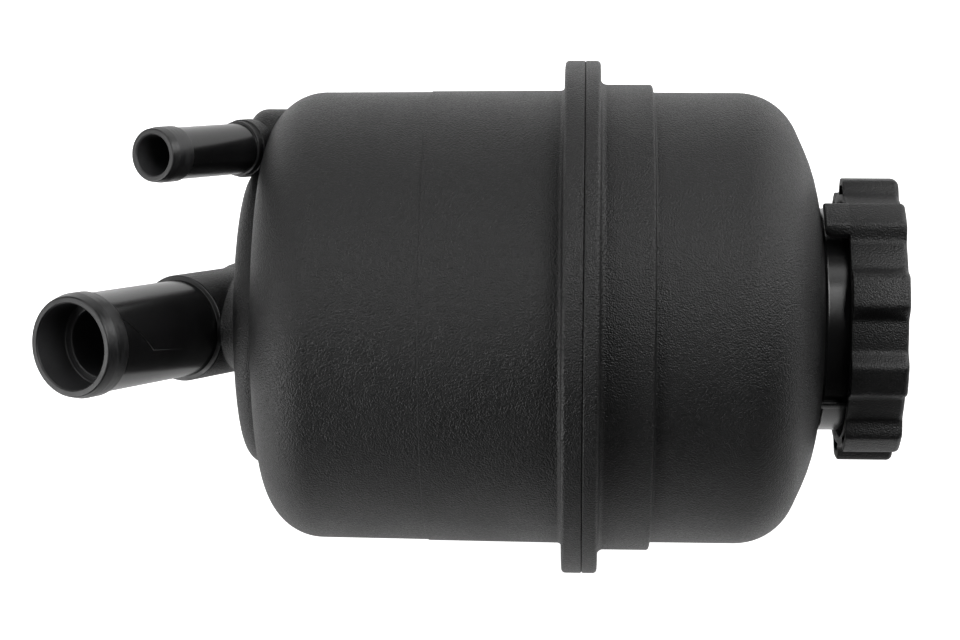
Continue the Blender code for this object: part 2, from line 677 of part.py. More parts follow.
def make_upper_shell():
    """Upper bowl: weld flange, raised band, domed shoulder and threaded neck."""
    band_top = FLANGE_TOP + BAND_HEIGHT
    corners = [
        (NECK_RADIUS, NECK_TOP, EDGE_SMALL),
        *dome_corners(0),
        (UPPER_RADIUS, band_top, EDGE_FINE),
        (BAND_RADIUS, band_top - BAND_DRAFT, EDGE_SMALL),
        (BAND_RADIUS, FLANGE_TOP, BAND_ROOT),
        (FLANGE_RADIUS, FLANGE_TOP, EDGE_SOFT),
        (FLANGE_RADIUS, SEAM_TOP, EDGE_FINE),
        (UPPER_RADIUS - WALL, SEAM_TOP, 0),
        *reversed(dome_corners(WALL)),
        (NECK_RADIUS - NECK_WALL, NECK_TOP, 0),
    ]
    shell = turned("upper_shell", round_corners(corners), True, STEPS_LARGE)
    for index in range(NECK_RIBS):
        depth = NECK_RIB_HEIGHT + NECK_WALL / 2
        centre = NECK_RADIUS + NECK_RIB_HEIGHT - depth / 2
        low = NECK_ROOT - OVERSHOOT
        length = NECK_RIB_LENGTH + OVERSHOOT
        rib = box(f"neck_rib_{index}", (depth, NECK_RIB_WIDTH, length), (centre, 0, low + length / 2),
                  NECK_RIB_ANGLE + math.tau * index / NECK_RIBS, True)
        join(shell, rib)
    return finish(shell, SHELL_PLASTIC)


def lobed_outline(inset=0.0):
    """The cap's outline: flat valleys and rounded lobes, a valley on the phase direction."""
    points = []
    pitch = math.tau / CAP_LOBES
    shares = (-0.5, -0.4, -0.3, -0.25, -0.2, -0.15, 0, 0.15, 0.2, 0.25, 0.3, 0.4)
    for lobe in range(CAP_LOBES):
        for share in shares:
            ramp = min(max((LOBE_SPREAD - abs(share)) / LOBE_RAMP, 0), 1)
            rise = ramp * ramp * (3 - 2 * ramp)
            radius = VALLEY_RADIUS + (LOBE_RADIUS - VALLEY_RADIUS) * rise - inset
            angle = LOBE_PHASE + pitch * (lobe + 0.5 + share)
            points.append((radius * math.cos(angle), radius * math.sin(angle)))
    return points


def sector(inner, outer, middle, half_angle, steps=3):
    """A curved block's outline between two radii."""
    angles = [middle + half_angle * (2 * step / steps - 1) for step in range(steps + 1)]
    outside = [(outer * math.cos(a), outer * math.sin(a)) for a in angles]
    inside = [(inner * math.cos(a), inner * math.sin(a)) for a in reversed(angles)]
    return outside + inside


def bevel_top(item, width, height, segments):
    """Rounds only the edges that lie at one height."""
    mesh = item.data
    weights = mesh.attributes.new("bevel_weight_edge", "FLOAT", "EDGE")
    place = item.matrix_world
    for edge in mesh.edges:
        ends = [(place @ mesh.vertices[index].co).z for index in edge.vertices]
        flat = all(abs(end - height) < 0.00001 for end in ends)
        weights.data[edge.index].value = 1.0 if flat else 0.0
    bevel = item.modifiers.new("Rounded edge", "BEVEL")
    bevel.width = width
    bevel.segments = segments
    bevel.limit_method = "WEIGHT"


def make_fill_cap():
    """Lobed screw cap: hollow lobes round a threaded sleeve, a locking tab and the vent's ring."""
    cap = prism("fill_cap", lobed_outline(), CAP_RIM, CAP_TOP)
    bevel_top(cap, CAP_EDGE, CAP_TOP, 2)
    well = cylinder("cap_well", SLEEVE_BORE, CAP_RIM - OVERSHOOT, CAP_UNDERSIDE, sides=STEPS_LARGE, tool=True)
    cut(cap, well)
    pitch = math.tau / CAP_LOBES
    for lobe in range(CAP_LOBES):
        middle = LOBE_PHASE + pitch * (lobe + 0.5)
        outline = sector(SLEEVE_BORE + SLEEVE_WALL, LOBE_RADIUS - LOBE_WALL, middle, POCKET_SHARE * pitch, 1)
        cut(cap, prism(f"lobe_pocket_{lobe}", outline, CAP_RIM - OVERSHOOT, CAP_UNDERSIDE - POCKET_ROOF,
                       True))
    middle = LOBE_PHASE + pitch * (0.5 - TAB_LOBE)
    outer = LOBE_RADIUS - TAB_INSET
    inner = LOBE_RADIUS - LOBE_WALL + TAB_INSET
    half_angle = TAB_WIDTH / 2 / LOBE_RADIUS
    tab = prism("lock_tab", sector(inner, outer, middle, half_angle, 2), CAP_RIM - TAB_LENGTH,
                CAP_RIM + JOIN_DEPTH, True)
    bevel_top(tab, EDGE_SMALL, CAP_RIM - TAB_LENGTH, 1)
    ring = turned_corners("vent_ring", [
        (VENT_RING_RADIUS + VENT_RING_WALL, CAP_UNDERSIDE + CAP_ROOF / 2, 0),
        (VENT_RING_RADIUS + VENT_RING_WALL, PLUG_BOTTOM - SEAT - VENT_RING_LIP, EDGE_FINE),
        (VENT_RING_RADIUS - VENT_RING_LIP, PLUG_BOTTOM - SEAT - VENT_RING_LIP, EDGE_FINE),
        (VENT_RING_RADIUS - VENT_RING_LIP, PLUG_BOTTOM - SEAT, 0),
        (VENT_RING_RADIUS, PLUG_BOTTOM - SEAT, 0),
        (VENT_RING_RADIUS, CAP_UNDERSIDE + CAP_ROOF / 2, 0),
    ], tool=True)
    join(cap, tab, ring)
    for index in range(2):
        slot = box(f"vent_slot_{index}",
                   (2 * VENT_RING_RADIUS + 4 * VENT_RING_WALL, VENT_SLOT_WIDTH, VENT_SLOT_HEIGHT),
                   (0, 0, CAP_UNDERSIDE - 0.75 * VENT_SLOT_HEIGHT), math.pi / 4 + math.pi / 2 * index, True)
        cut(cap, slot)
    return finish(cap, CAP_PLASTIC)


def make_cap_seal():
    inner = NECK_RADIUS - NECK_WALL - SEAT
    outer = SLEEVE_BORE - SEAL_ROOM
    bottom = NECK_TOP + SEAT
    seal = turned_corners("cap_seal", [
        (outer, bottom + SEAL_THICKNESS, EDGE_FINE),
        (outer, bottom, EDGE_FINE),
        (inner, bottom, 0),
        (inner, bottom + SEAL_THICKNESS, 0),
    ], 32)
    return finish(seal, RUBBER)


def make_vent_plug():
    """Plug snapped into the cap's ring: the vent's seat above, the dipstick's socket below."""
    outer = VENT_RING_RADIUS - SEAT
    seat_outer = VENT_DISC_RADIUS - VENT_SEAT_INSET
    seat_inner = seat_outer - VENT_SEAT_WIDTH
    lip_top = HEAD_BOTTOM - SEAT
    lip_bottom = lip_top - SOCKET_LIP
    socket_outer = SOCKET_RADIUS + SOCKET_WALL
    plug = turned("vent_plug", round_corners([
        (0, PLUG_TOP, 0),
        (seat_inner, PLUG_TOP, 0),
        (seat_inner, PLUG_TOP + VENT_SEAT_HEIGHT, 0),
        (seat_outer, PLUG_TOP + VENT_SEAT_HEIGHT, 0),
        (seat_outer, PLUG_TOP, 0),
        (outer, PLUG_TOP, 0),
        (outer, PLUG_BOTTOM, EDGE_FINE),
        (socket_outer, PLUG_BOTTOM, EDGE_SOFT),
        (socket_outer, lip_bottom, EDGE_SMALL),
        (STEM_RADIUS + STEM_ROOM, lip_bottom, 0),
        (STEM_RADIUS + STEM_ROOM, lip_top, 0),
        (SOCKET_RADIUS, lip_top, 0),
        (SOCKET_RADIUS, PLUG_BOTTOM, 0),
        (0, PLUG_BOTTOM, 0),
    ], False), False)
    circle = (socket_outer + seat_inner) / 2 + VENT_HOLE_SHIFT
    for index in range(VENT_HOLES):
        angle = math.tau * index / VENT_HOLES
        place = (circle * math.cos(angle), circle * math.sin(angle))
        hole = cylinder(f"vent_hole_{index}", VENT_HOLE_RADIUS, PLUG_BOTTOM - 2 * OVERSHOOT,
                        PLUG_TOP + OVERSHOOT, place, 8, True)
        cut(plug, hole)
    return finish(plug, INNER_PLASTIC)


def make_vent_disc():
    disc = turned("vent_disc", round_corners([
        (0, VENT_DISC_TOP, 0),
        (VENT_DISC_RADIUS, VENT_DISC_TOP, EDGE_FINE),
        (VENT_DISC_RADIUS, VENT_DISC_BOTTOM, EDGE_FINE),
        (0, VENT_DISC_BOTTOM, 0),
    ], False), False)
    return finish(disc, RUBBER)


def make_vent_spring():
    spring = coil("vent_spring", VENT_SPRING_RADIUS, VENT_WIRE, VENT_DISC_TOP + SEAT, CAP_UNDERSIDE - SEAT,
                  VENT_TURNS)
    return finish(spring, SPRING_STEEL)


def blade_outline():
    """The dipstick's flat blade, seen from the front: notched at the fill marks, pointed at its foot."""
    half = BLADE_WIDTH / 2
    top = HEAD_BOTTOM - STEM_LENGTH
    right = [(half, top)]
    for level in sorted(MARK_LEVELS, reverse=True):
        right += [
            (half, level + NOTCH_WIDTH / 2),
            (half - NOTCH_DEPTH, level + NOTCH_WIDTH / 4),
            (half - NOTCH_DEPTH, level - NOTCH_WIDTH / 4),
            (half, level - NOTCH_WIDTH / 2),
        ]
    right += [(half, BLADE_END + half / 2), (half / 2, BLADE_END)]
    left = [(-x, z) for x, z in reversed(right)]
    return right + left


def make_dipstick():
    """Dipstick: a round head that turns in the plug's socket, a stem and a notched flat blade."""
    stem_end = HEAD_BOTTOM - STEM_LENGTH - JOIN_DEPTH
    stick = turned("dipstick", round_corners([
        (0, HEAD_TOP, 0),
        (SOCKET_RADIUS - SEAT, HEAD_TOP, EDGE_SMALL),
        (SOCKET_RADIUS - SEAT, HEAD_BOTTOM, EDGE_FINE),
        (STEM_RADIUS, HEAD_BOTTOM, 0),
        (STEM_RADIUS, stem_end, EDGE_SMALL),
        (0, stem_end, 0),
    ], False), False, 20)
    blade = prism("dipstick_blade", blade_outline(), -BLADE_THICKNESS / 2, BLADE_THICKNESS / 2, True)
    blade.data.transform(Matrix.Rotation(math.pi / 2, 4, "X") @ blade.matrix_world)
    blade.matrix_world = Matrix.Identity(4)
    join(stick, blade)
    return finish(stick, INNER_PLASTIC)


def make_baffle():
    """Baffle plate: drain holes, the dipstick's guide tube above and the spring's locating ring below."""
    locator = coil_bore(HOLD_SPRING_RADIUS, HOLD_WIRE) - SEAT
    plate = turned_corners("baffle_plate", [
        (GUIDE_BORE + GUIDE_WALL, BAFFLE_TOP + GUIDE_HEIGHT, 0),
        (GUIDE_BORE + GUIDE_WALL, BAFFLE_TOP, EDGE_SOFT),
        (BAFFLE_RADIUS, BAFFLE_TOP, 0),
        (BAFFLE_RADIUS, BAFFLE_BOTTOM, 0),
        (locator, BAFFLE_BOTTOM, 0),
        (locator, BAFFLE_BOTTOM - LOCATOR_HEIGHT, 0),
        (locator - LOCATOR_WALL, BAFFLE_BOTTOM - LOCATOR_HEIGHT, 0),
        (locator - LOCATOR_WALL, BAFFLE_BOTTOM, 0),
        (GUIDE_BORE, BAFFLE_BOTTOM, 0),
        (GUIDE_BORE, BAFFLE_TOP + GUIDE_HEIGHT, EDGE_SMALL),
    ], 36)
    for index in range(BAFFLE_HOLES):
        angle = math.tau * (index + 0.5) / BAFFLE_HOLES
        place = (BAFFLE_HOLE_CIRCLE * math.cos(angle), BAFFLE_HOLE_CIRCLE * math.sin(angle))
        hole = cylinder(f"baffle_hole_{index}", BAFFLE_HOLE_RADIUS, BAFFLE_BOTTOM - OVERSHOOT,
                        BAFFLE_TOP + OVERSHOOT, place, 12, True)
        cut(plate, hole)
    return finish(plate, INNER_PLASTIC)


def make_hold_down_spring():
    spring = coil("hold_down_spring", HOLD_SPRING_RADIUS, HOLD_WIRE, SPRING_SEAT_TOP + SEAT,
                  BAFFLE_BOTTOM - SEAT, HOLD_TURNS)
    return finish(spring, SPRING_STEEL)


def make_spring_seat():
    inner = HOLD_SPRING_RADIUS - SPRING_SEAT_WIDTH / 2
    outer = HOLD_SPRING_RADIUS + SPRING_SEAT_WIDTH / 2
    bottom = UPPER_CAP_TOP + SEAT
    washer = turned_corners("spring_seat", [
        (outer, SPRING_SEAT_TOP, 0),
        (outer, bottom, 0),
        (inner, bottom, 0),
        (inner, SPRING_SEAT_TOP, 0),
    ])
    return finish(washer, ZINC_PLATE)


def make_upper_end_cap():
    """Cartridge's upper end cap: rim over the pleats, bypass hole and the spring seat's locating ring."""
    locator = HOLD_SPRING_RADIUS - SPRING_SEAT_WIDTH / 2 - SEAT
    inner = END_CAP_RADIUS - END_CAP_RIM_WALL
    ring_top = SPRING_SEAT_TOP + SPRING_RING_STAND
    cap = turned_corners("filter_upper_cap", [
        (locator, ring_top, EDGE_FINE),
        (locator, UPPER_CAP_TOP, 0),
        (END_CAP_RADIUS, UPPER_CAP_TOP, EDGE_SMALL),
        (END_CAP_RADIUS, UPPER_CAP_BOTTOM - END_CAP_RIM, 0),
        (inner, UPPER_CAP_BOTTOM - END_CAP_RIM, 0),
        (inner, UPPER_CAP_BOTTOM, 0),
        (BYPASS_HOLE, UPPER_CAP_BOTTOM, 0),
        (BYPASS_HOLE, UPPER_CAP_TOP, 0),
        (locator - LOCATOR_WALL, UPPER_CAP_TOP, 0),
        (locator - LOCATOR_WALL, ring_top, 0),
    ])
    return finish(cap, PALE_PLASTIC)


def make_lower_end_cap():
    """Cartridge's lower end cap: rim round the pleats and a collar that stands over the outlet stub."""
    inner = END_CAP_RADIUS - END_CAP_RIM_WALL
    collar_bore = STUB_RADIUS + SEAT + FILTER_SEAL_WIDTH + SEAT
    collar = collar_bore + FILTER_COLLAR_WALL
    cap = turned_corners("filter_lower_cap", [
        (END_CAP_RADIUS, LOWER_CAP_TOP + END_CAP_RIM, 0),
        (END_CAP_RADIUS, LOWER_CAP_BOTTOM, EDGE_SMALL),
        (collar, LOWER_CAP_BOTTOM, EDGE_SMALL),
        (collar, FLOOR + SEAT, 0),
        (collar_bore, FLOOR + SEAT, 0),
        (collar_bore, LOWER_CAP_BOTTOM, 0),
        (END_CAP_HOLE, LOWER_CAP_BOTTOM, 0),
        (END_CAP_HOLE, LOWER_CAP_TOP, 0),
        (inner, LOWER_CAP_TOP, 0),
        (inner, LOWER_CAP_TOP + END_CAP_RIM, 0),
    ])
    return finish(cap, PALE_PLASTIC)


def make_filter_seal():
    inner = STUB_RADIUS + SEAT
    outer = inner + FILTER_SEAL_WIDTH
    top = LOWER_CAP_BOTTOM - SEAT
    seal = turned_corners("filter_seal", [
        (outer, top, 0),
        (outer, top - FILTER_SEAL_HEIGHT, EDGE_SMALL),
        (inner, top - FILTER_SEAL_HEIGHT, EDGE_SMALL),
        (inner, top, 0),
    ])
    return finish(seal, RUBBER)


def make_filter_core():
    """Perforated core tube that the paper leans on."""
    core = turned_corners("filter_core", [
        (CORE_RADIUS, PAPER_TOP, 0),
        (CORE_RADIUS, PAPER_BOTTOM, 0),
        (CORE_RADIUS - CORE_WALL, PAPER_BOTTOM, 0),
        (CORE_RADIUS - CORE_WALL, PAPER_TOP, 0),
    ], 24)
    pitch = PAPER_HEIGHT / CORE_ROWS
    for row in range(CORE_ROWS):
        height = PAPER_BOTTOM + pitch * (row + 0.5)
        for column in range(CORE_COLUMNS):
            window = box(f"core_window_{row}_{column}", (4 * CORE_WALL, WINDOW_WIDTH, WINDOW_HEIGHT),
                         (CORE_RADIUS, 0, height), math.tau * (column + 0.5) / CORE_COLUMNS, True)
            cut(core, window)
    return finish(core, PALE_PLASTIC)


def make_filter_paper():
    """Pleated paper: one zigzag ribbon closed round the core, with its thickness added."""
    outer = END_CAP_RADIUS - END_CAP_RIM_WALL - SEAT - PAPER_THICKNESS / 2
    inner = CORE_RADIUS + SEAT + PAPER_THICKNESS / 2
    pitch = math.tau / PLEATS
    outline = []
    for pleat in range(PLEATS):
        middle = pitch * pleat
        fold = PLEAT_TURN / 2 / outer
        root = pitch / 2 - PLEAT_TURN / 2 / inner
        outline += [(outer, middle - fold), (outer, middle + fold), (inner, middle + root),
                    (inner, middle + pitch - root)]
    flat = [(radius * math.cos(angle), radius * math.sin(angle)) for radius, angle in outline]
    shape = bmesh.new()
    low = [shape.verts.new((x, y, PAPER_BOTTOM)) for x, y in flat]
    ribbon = [shape.edges.new((low[index - 1], low[index])) for index in range(len(low))]
    raised = bmesh.ops.extrude_edge_only(shape, edges=ribbon)
    moved = [part for part in raised["geom"] if isinstance(part, bmesh.types.BMVert)]
    bmesh.ops.translate(shape, vec=(0, 0, PAPER_HEIGHT), verts=moved)
    bmesh.ops.recalc_face_normals(shape, faces=shape.faces)
    mesh = bpy.data.meshes.new("filter_paper")
    shape.to_mesh(mesh)
    shape.free()
    paper = add_object("filter_paper", mesh)
    thickness = paper.modifiers.new("Paper thickness", "SOLIDIFY")
    thickness.thickness = PAPER_THICKNESS
    thickness.offset = 0
    thickness.use_even_offset = True
    return finish(paper, PAPER)


def make_bypass_disc():
    disc = turned("bypass_disc", round_corners([
        (0, BYPASS_DISC_TOP, 0),
        (BYPASS_DISC_RADIUS, BYPASS_DISC_TOP, 0),
        (BYPASS_DISC_RADIUS, BYPASS_DISC_BOTTOM, 0),
        (BYPASS_STEM_RADIUS, BYPASS_DISC_BOTTOM, EDGE_FINE),
        (BYPASS_STEM_RADIUS, BYPASS_DISC_BOTTOM - BYPASS_STEM_LENGTH, EDGE_FINE),
        (0, BYPASS_DISC_BOTTOM - BYPASS_STEM_LENGTH, 0),
    ], False), False, STEPS_SMALL)
    return finish(disc, PALE_PLASTIC)


def make_bypass_gasket():
    outer = BYPASS_DISC_RADIUS - GASKET_INSET
    inner = outer - GASKET_WIDTH
    bottom = GASKET_TOP - GASKET_THICKNESS
    gasket = turned_corners("bypass_gasket", [
        (outer, GASKET_TOP, 0),
        (outer, bottom, 0),
        (inner, bottom, 0),
        (inner, GASKET_TOP, 0),
    ])
    return finish(gasket, RUBBER)


def make_bypass_spring():
    spring = coil("bypass_spring", BYPASS_SPRING_RADIUS, BYPASS_WIRE, CAGE_FLOOR_TOP + SEAT,
                  BYPASS_DISC_BOTTOM - SEAT, BYPASS_TURNS)
    return finish(spring, SPRING_STEEL)


def make_bypass_cage():
    """Cage under the upper end cap: flange, windowed wall and a floor that guides the valve's stem."""
    flange = CORE_RADIUS - CORE_WALL - SEAT
    top = UPPER_CAP_BOTTOM - SEAT
    bottom = CAGE_FLOOR_TOP - CAGE_FLOOR
    guide = BYPASS_STEM_RADIUS + STEM_ROOM
    cage = turned_corners("bypass_cage", [
        (flange, top, 0),
        (flange, top - CAGE_FLANGE, 0),
        (CAGE_BORE + CAGE_WALL, top - CAGE_FLANGE, 0),
        (CAGE_BORE + CAGE_WALL, bottom, EDGE_SMALL),
        (guide, bottom, 0),
        (guide, CAGE_FLOOR_TOP, 0),
        (CAGE_BORE, CAGE_FLOOR_TOP, 0),
        (CAGE_BORE, top, 0),
    ])
    middle = (CAGE_FLOOR_TOP + top - CAGE_FLANGE) / 2
    for index in range(CAGE_WINDOWS):
        window = box(f"cage_window_{index}", (4 * CAGE_WALL, CAGE_WINDOW_WIDTH, CAGE_WINDOW_HEIGHT),
                     (CAGE_BORE + CAGE_WALL / 2, 0, middle), math.tau * (index + 0.5) / CAGE_WINDOWS, True)
        cut(cage, window)
    return finish(cage, PALE_PLASTIC)


def main():
    make_lower_shell()
    make_upper_shell()
    make_fill_cap()
    make_cap_seal()
    make_vent_plug()
    make_vent_disc()
    make_vent_spring()
    make_dipstick()
    make_baffle()
    make_hold_down_spring()
    make_spring_seat()
    make_upper_end_cap()
    make_lower_end_cap()
    make_filter_seal()
    make_filter_core()
    make_filter_paper()
    make_bypass_disc()
    make_bypass_gasket()
    make_bypass_spring()
    make_bypass_cage()


clear_scene()
MODEL = new_collection("Power steering reservoir")
TOOLS = new_collection("Cutters")
main()
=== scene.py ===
"""Looks of the power steering reservoir.

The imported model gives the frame: +Z runs up the can's axis to the screw cap, both hose spigots
point to -Y, and the origin lies in the plane of the weld flange's lower face. The two bowls and the
screw cap are modelled again here with finer rounds and their moulding detail. The pieces inside keep
their solids and get their finishes.
"""

import math

import bmesh
import bpy
from bpy.props import FloatProperty, FloatVectorProperty, IntProperty, PointerProperty
from mathutils import Matrix, Vector


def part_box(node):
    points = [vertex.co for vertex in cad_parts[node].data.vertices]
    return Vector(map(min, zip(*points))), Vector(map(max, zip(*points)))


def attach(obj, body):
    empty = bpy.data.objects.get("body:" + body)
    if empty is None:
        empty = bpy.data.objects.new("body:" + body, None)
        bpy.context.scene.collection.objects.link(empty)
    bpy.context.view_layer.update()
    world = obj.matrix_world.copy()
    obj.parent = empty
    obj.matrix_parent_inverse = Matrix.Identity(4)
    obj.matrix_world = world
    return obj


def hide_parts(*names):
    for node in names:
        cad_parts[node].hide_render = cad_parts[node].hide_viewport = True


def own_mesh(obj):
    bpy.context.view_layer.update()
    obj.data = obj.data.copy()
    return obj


bl_info = {
    "name": "Power steering reservoir",
    "version": (1, 0, 0),
    "blender": (4, 5, 0),
    "location": "View3D > Sidebar > Reservoir",
    "description": "Builds a moulded fluid reservoir with a screw cap and hose spigots",
    "category": "Add Mesh",
}

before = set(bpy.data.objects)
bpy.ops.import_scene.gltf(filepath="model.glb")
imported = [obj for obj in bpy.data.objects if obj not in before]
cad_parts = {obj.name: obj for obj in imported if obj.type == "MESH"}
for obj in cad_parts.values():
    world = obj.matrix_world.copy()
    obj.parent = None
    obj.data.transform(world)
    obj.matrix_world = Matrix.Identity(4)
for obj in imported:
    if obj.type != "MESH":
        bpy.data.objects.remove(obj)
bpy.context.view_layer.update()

MM = 0.001
IMAGE_WIDTH = 960
SENSOR_WIDTH = 36.0

# Places read from the frame
SEAM = (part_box("lower_shell")[1].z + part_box("upper_shell")[0].z) / 2
NECK_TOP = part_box("upper_shell")[1].z
FLANGE_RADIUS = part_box("upper_shell")[1].x
CAP_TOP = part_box("fill_cap")[1].z
TAB_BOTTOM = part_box("fill_cap")[0].z
SEAL_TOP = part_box("cap_seal")[1].z
VENT_SEAT_DEPTH = 2.6 * MM
PLUG_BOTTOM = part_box("vent_disc")[0].z - VENT_SEAT_DEPTH


# Settings that a user would change


def length(name, description, default):
    """A setting that holds a length."""
    return FloatProperty(name=name, description=description, default=default, unit="LENGTH")


class CanSettings(bpy.types.PropertyGroup):
    lower_radius: length("Lower wall radius", "Outer radius of the lower bowl at the flange", 44.2 * MM)
    upper_radius: length("Upper wall radius", "Outer radius of the upper bowl above its band", 43.9 * MM)
    band_radius: length("Band radius", "Outer radius of the raised band above the flange", 45.4 * MM)
    band_height: length("Band height", "Height of the raised band above the flange", 10.05 * MM)
    wall: length("Wall thickness", "Thickness of the moulded walls", 2.6 * MM)
    shoulder_depth: length(
        "Shoulder depth", "Depth below the flange at which the lower wall starts to round", 46.4 * MM)
    foot_width: length(
        "Foot width", "Width of the oval rounding between the lower wall and the floor", 11.9 * MM)
    foot_depth: length(
        "Foot depth", "Depth of the oval rounding between the lower wall and the floor", 11.2 * MM)
    disc_radius: length("Floor disc radius", "Radius of the raised disc under the floor", 29.6 * MM)
    neck_radius: length("Neck radius", "Outer radius of the threaded neck", 21.6 * MM)
    neck_root: length(
        "Neck root height", "Height of the neck's root above the flange's lower face", 49.2 * MM)
    steps: IntProperty(
        name="Steps round the can", description="Facets in one turn of the bowls", default=180, min=24)


class SpigotSettings(bpy.types.PropertyGroup):
    tilt: FloatProperty(
        name="Tilt", description="Slant of both spigots below the horizontal", default=math.radians(29.4),
        unit="ROTATION")
    suction_radius: length("Suction tube radius", "Outer radius of the large spigot's tube", 9.15 * MM)
    suction_offset: length(
        "Suction spigot offset", "Distance of the large spigot from the can's axis", 0.4 * MM)
    suction_length: length("Suction spigot length", "Length of the large spigot from its elbow", 53.4 * MM)
    return_radius: length("Return tube radius", "Outer radius of the small spigot's tube", 4.85 * MM)
    return_length: length("Return spigot length", "Length of the small spigot from its elbow", 35.5 * MM)
    return_offset: length(
        "Return spigot offset", "Distance of the small spigot from the can's axis", 33.07 * MM)
    steps: IntProperty(
        name="Steps round a spigot", description="Facets in one turn of a spigot", default=96, min=16)


class CapSettings(bpy.types.PropertyGroup):
    lobes: IntProperty(name="Lobes", description="Number of grip lobes", default=10, min=3)
    lobe_radius: length("Lobe radius", "Radius over the lobes", 27.5 * MM)
    valley_radius: length("Valley radius", "Radius in the valleys", 25.0 * MM)
    skirt: length("Skirt", "Depth of the skirt below the cap's roof", 8.8 * MM)
    roof: length("Roof", "Thickness of the cap's roof", 1.9 * MM)
    edge: length("Edge rounding", "Rounding of the cap's upper edge", 1.15 * MM)
    thread_pitch: length("Thread pitch", "Rise of the cap in one turn", 4.0 * MM)


class FinishSettings(bpy.types.PropertyGroup):
    shell_colour: FloatVectorProperty(
        name="Shell colour", description="Colour of the grained bowls", default=(0.0045, 0.0045, 0.0047),
        subtype="COLOR", min=0, max=1)
    cap_colour: FloatVectorProperty(
        name="Cap colour", description="Colour of the screw cap", default=(0.0045, 0.0045, 0.0047),
        subtype="COLOR", min=0, max=1)
    spigot_colour: FloatVectorProperty(
        name="Spigot colour", description="Colour of the smooth spigots", default=(0.0045, 0.0045, 0.0047),
        subtype="COLOR", min=0, max=1)
    grain_size: length("Grain size", "Size of the spark-eroded grain", 0.3 * MM)
    grain_depth: length("Grain depth", "Full depth of the grain's height field", 0.26 * MM)


# Shapes


def add_object(name, data):
    """Adds an object with this data to the scene."""
    item = bpy.data.objects.new(name, data)
    bpy.context.scene.collection.objects.link(item)
    return item


def discard(*items):
    """Removes objects that were only tools."""
    for item in items:
        bpy.data.objects.remove(item, do_unlink=True)


def arc(centre_r, centre_z, width, height, last, steps):
    """Points of an oval arc, from the outward direction to an angle below it."""
    angles = [-last * step / steps for step in range(steps + 1)]
    return [Vector((centre_r + width * math.cos(a), centre_z + height * math.sin(a))) for a in angles]


def round_corners(corners, closed=True, facet=math.radians(9)):
    """Turns (radius, height, rounding) corners into points, with an arc at each rounded corner.

    An arc takes at most half of the shorter side beside it."""
    points = []
    count = len(corners)
    for index, (r, z, rounding) in enumerate(corners):
        corner = Vector((r, z))
        if rounding == 0 or (not closed and index in (0, count - 1)):
            points.append(corner)
            continue
        before = Vector(corners[index - 1][:2]) - corner
        after = Vector(corners[(index + 1) % count][:2]) - corner
        half = before.angle(after) / 2
        reach = min(rounding / math.tan(half), 0.49 * before.length, 0.49 * after.length)
        start = corner + before.normalized() * reach
        end = corner + after.normalized() * reach
        radius = reach * math.tan(half)
        centre = corner + (before.normalized() + after.normalized()).normalized() * radius / math.sin(half)
        turn = (start - centre).angle_signed(end - centre)
        steps = max(2, math.ceil(abs(turn) / facet))
        for step in range(steps + 1):
            points.append(centre + Matrix.Rotation(-turn * step / steps, 2) @ (start - centre))
    return points


def turned(name, points, steps, place=Matrix.Identity(4), closed=True):
    """Turns a profile round Z. It runs down its outer side, then back up its inner side."""
    mesh = bpy.data.meshes.new(name + "_profile")
    edges = [(index, index + 1) for index in range(len(points) - 1)]
    if closed:
        edges.append((len(points) - 1, 0))
    mesh.from_pydata([(point[0], 0, point[1]) for point in points], edges, [])
    profile = add_object(name + "_profile", mesh)
    screw = profile.modifiers.new("Turn", "SCREW")
    screw.steps = steps
    screw.render_steps = steps
    screw.use_merge_vertices = True
    screw.merge_threshold = 0.01 * MM
    item = add_object(name, baked(profile))
    item.data.transform(place)
    discard(profile)
    return item


def baked(item):
    """The mesh of an object with its modifiers applied."""
    bpy.context.view_layer.update()
    return bpy.data.meshes.new_from_object(item.evaluated_get(bpy.context.evaluated_depsgraph_get()))


def combine(item, others, operation):
    """Joins or cuts solids exactly, and drops the tools."""
    for other in others:
        modifier = item.modifiers.new(other.name, "BOOLEAN")
        modifier.object = other
        modifier.operation = operation
        modifier.solver = "EXACT"
    item.data = baked(item)
    item.modifiers.clear()
    discard(*others)


def append_meshes(item, *others):
    """Adds other objects' meshes to this one as they lie."""
    shape = bmesh.new()
    shape.from_mesh(item.data)
    for other in others:
        bpy.context.view_layer.update()
        other.data.transform(other.matrix_world)
        shape.from_mesh(other.data)
    shape.to_mesh(item.data)
    shape.free()
    discard(*others)


def block(name, size, location, turn=0.0, rounding=0.0):
    """A block of full sizes with rounded edges, turned about the can's axis."""
    shape = bmesh.new()
    bmesh.ops.create_cube(shape, size=1)
    bmesh.ops.scale(shape, vec=size, verts=shape.verts)
    if rounding:
        bmesh.ops.bevel(shape, geom=shape.edges[:], offset=rounding, segments=3, profile=0.5, affect="EDGES")
    bmesh.ops.translate(shape, vec=location, verts=shape.verts)
    bmesh.ops.rotate(shape, cent=(0, 0, 0), matrix=Matrix.Rotation(turn, 3, "Z"), verts=shape.verts)
    mesh = bpy.data.meshes.new(name)
    shape.to_mesh(mesh)
    shape.free()
    return add_object(name, mesh)


def swept(name, sections, closed_path=False, closed_section=True):
    """A skin over a row of sections with the same number of points, capped where the row ends."""
    shape = bmesh.new()
    rings = [[shape.verts.new(point) for point in section] for section in sections]
    pairs = list(zip(rings, rings[1:]))
    if closed_path:
        pairs.append((rings[-1], rings[0]))
    count = len(sections[0])
    for near, far in pairs:
        for index in range(count if closed_section else count - 1):
            following = (index + 1) % count
            shape.faces.new((near[index], near[following], far[following], far[index]))
    if closed_section and not closed_path:
        shape.faces.new(reversed(rings[0]))
        shape.faces.new(rings[-1])
    bmesh.ops.recalc_face_normals(shape, faces=shape.faces)
    mesh = bpy.data.meshes.new(name)
    shape.to_mesh(mesh)
    shape.free()
    return add_object(name, mesh)


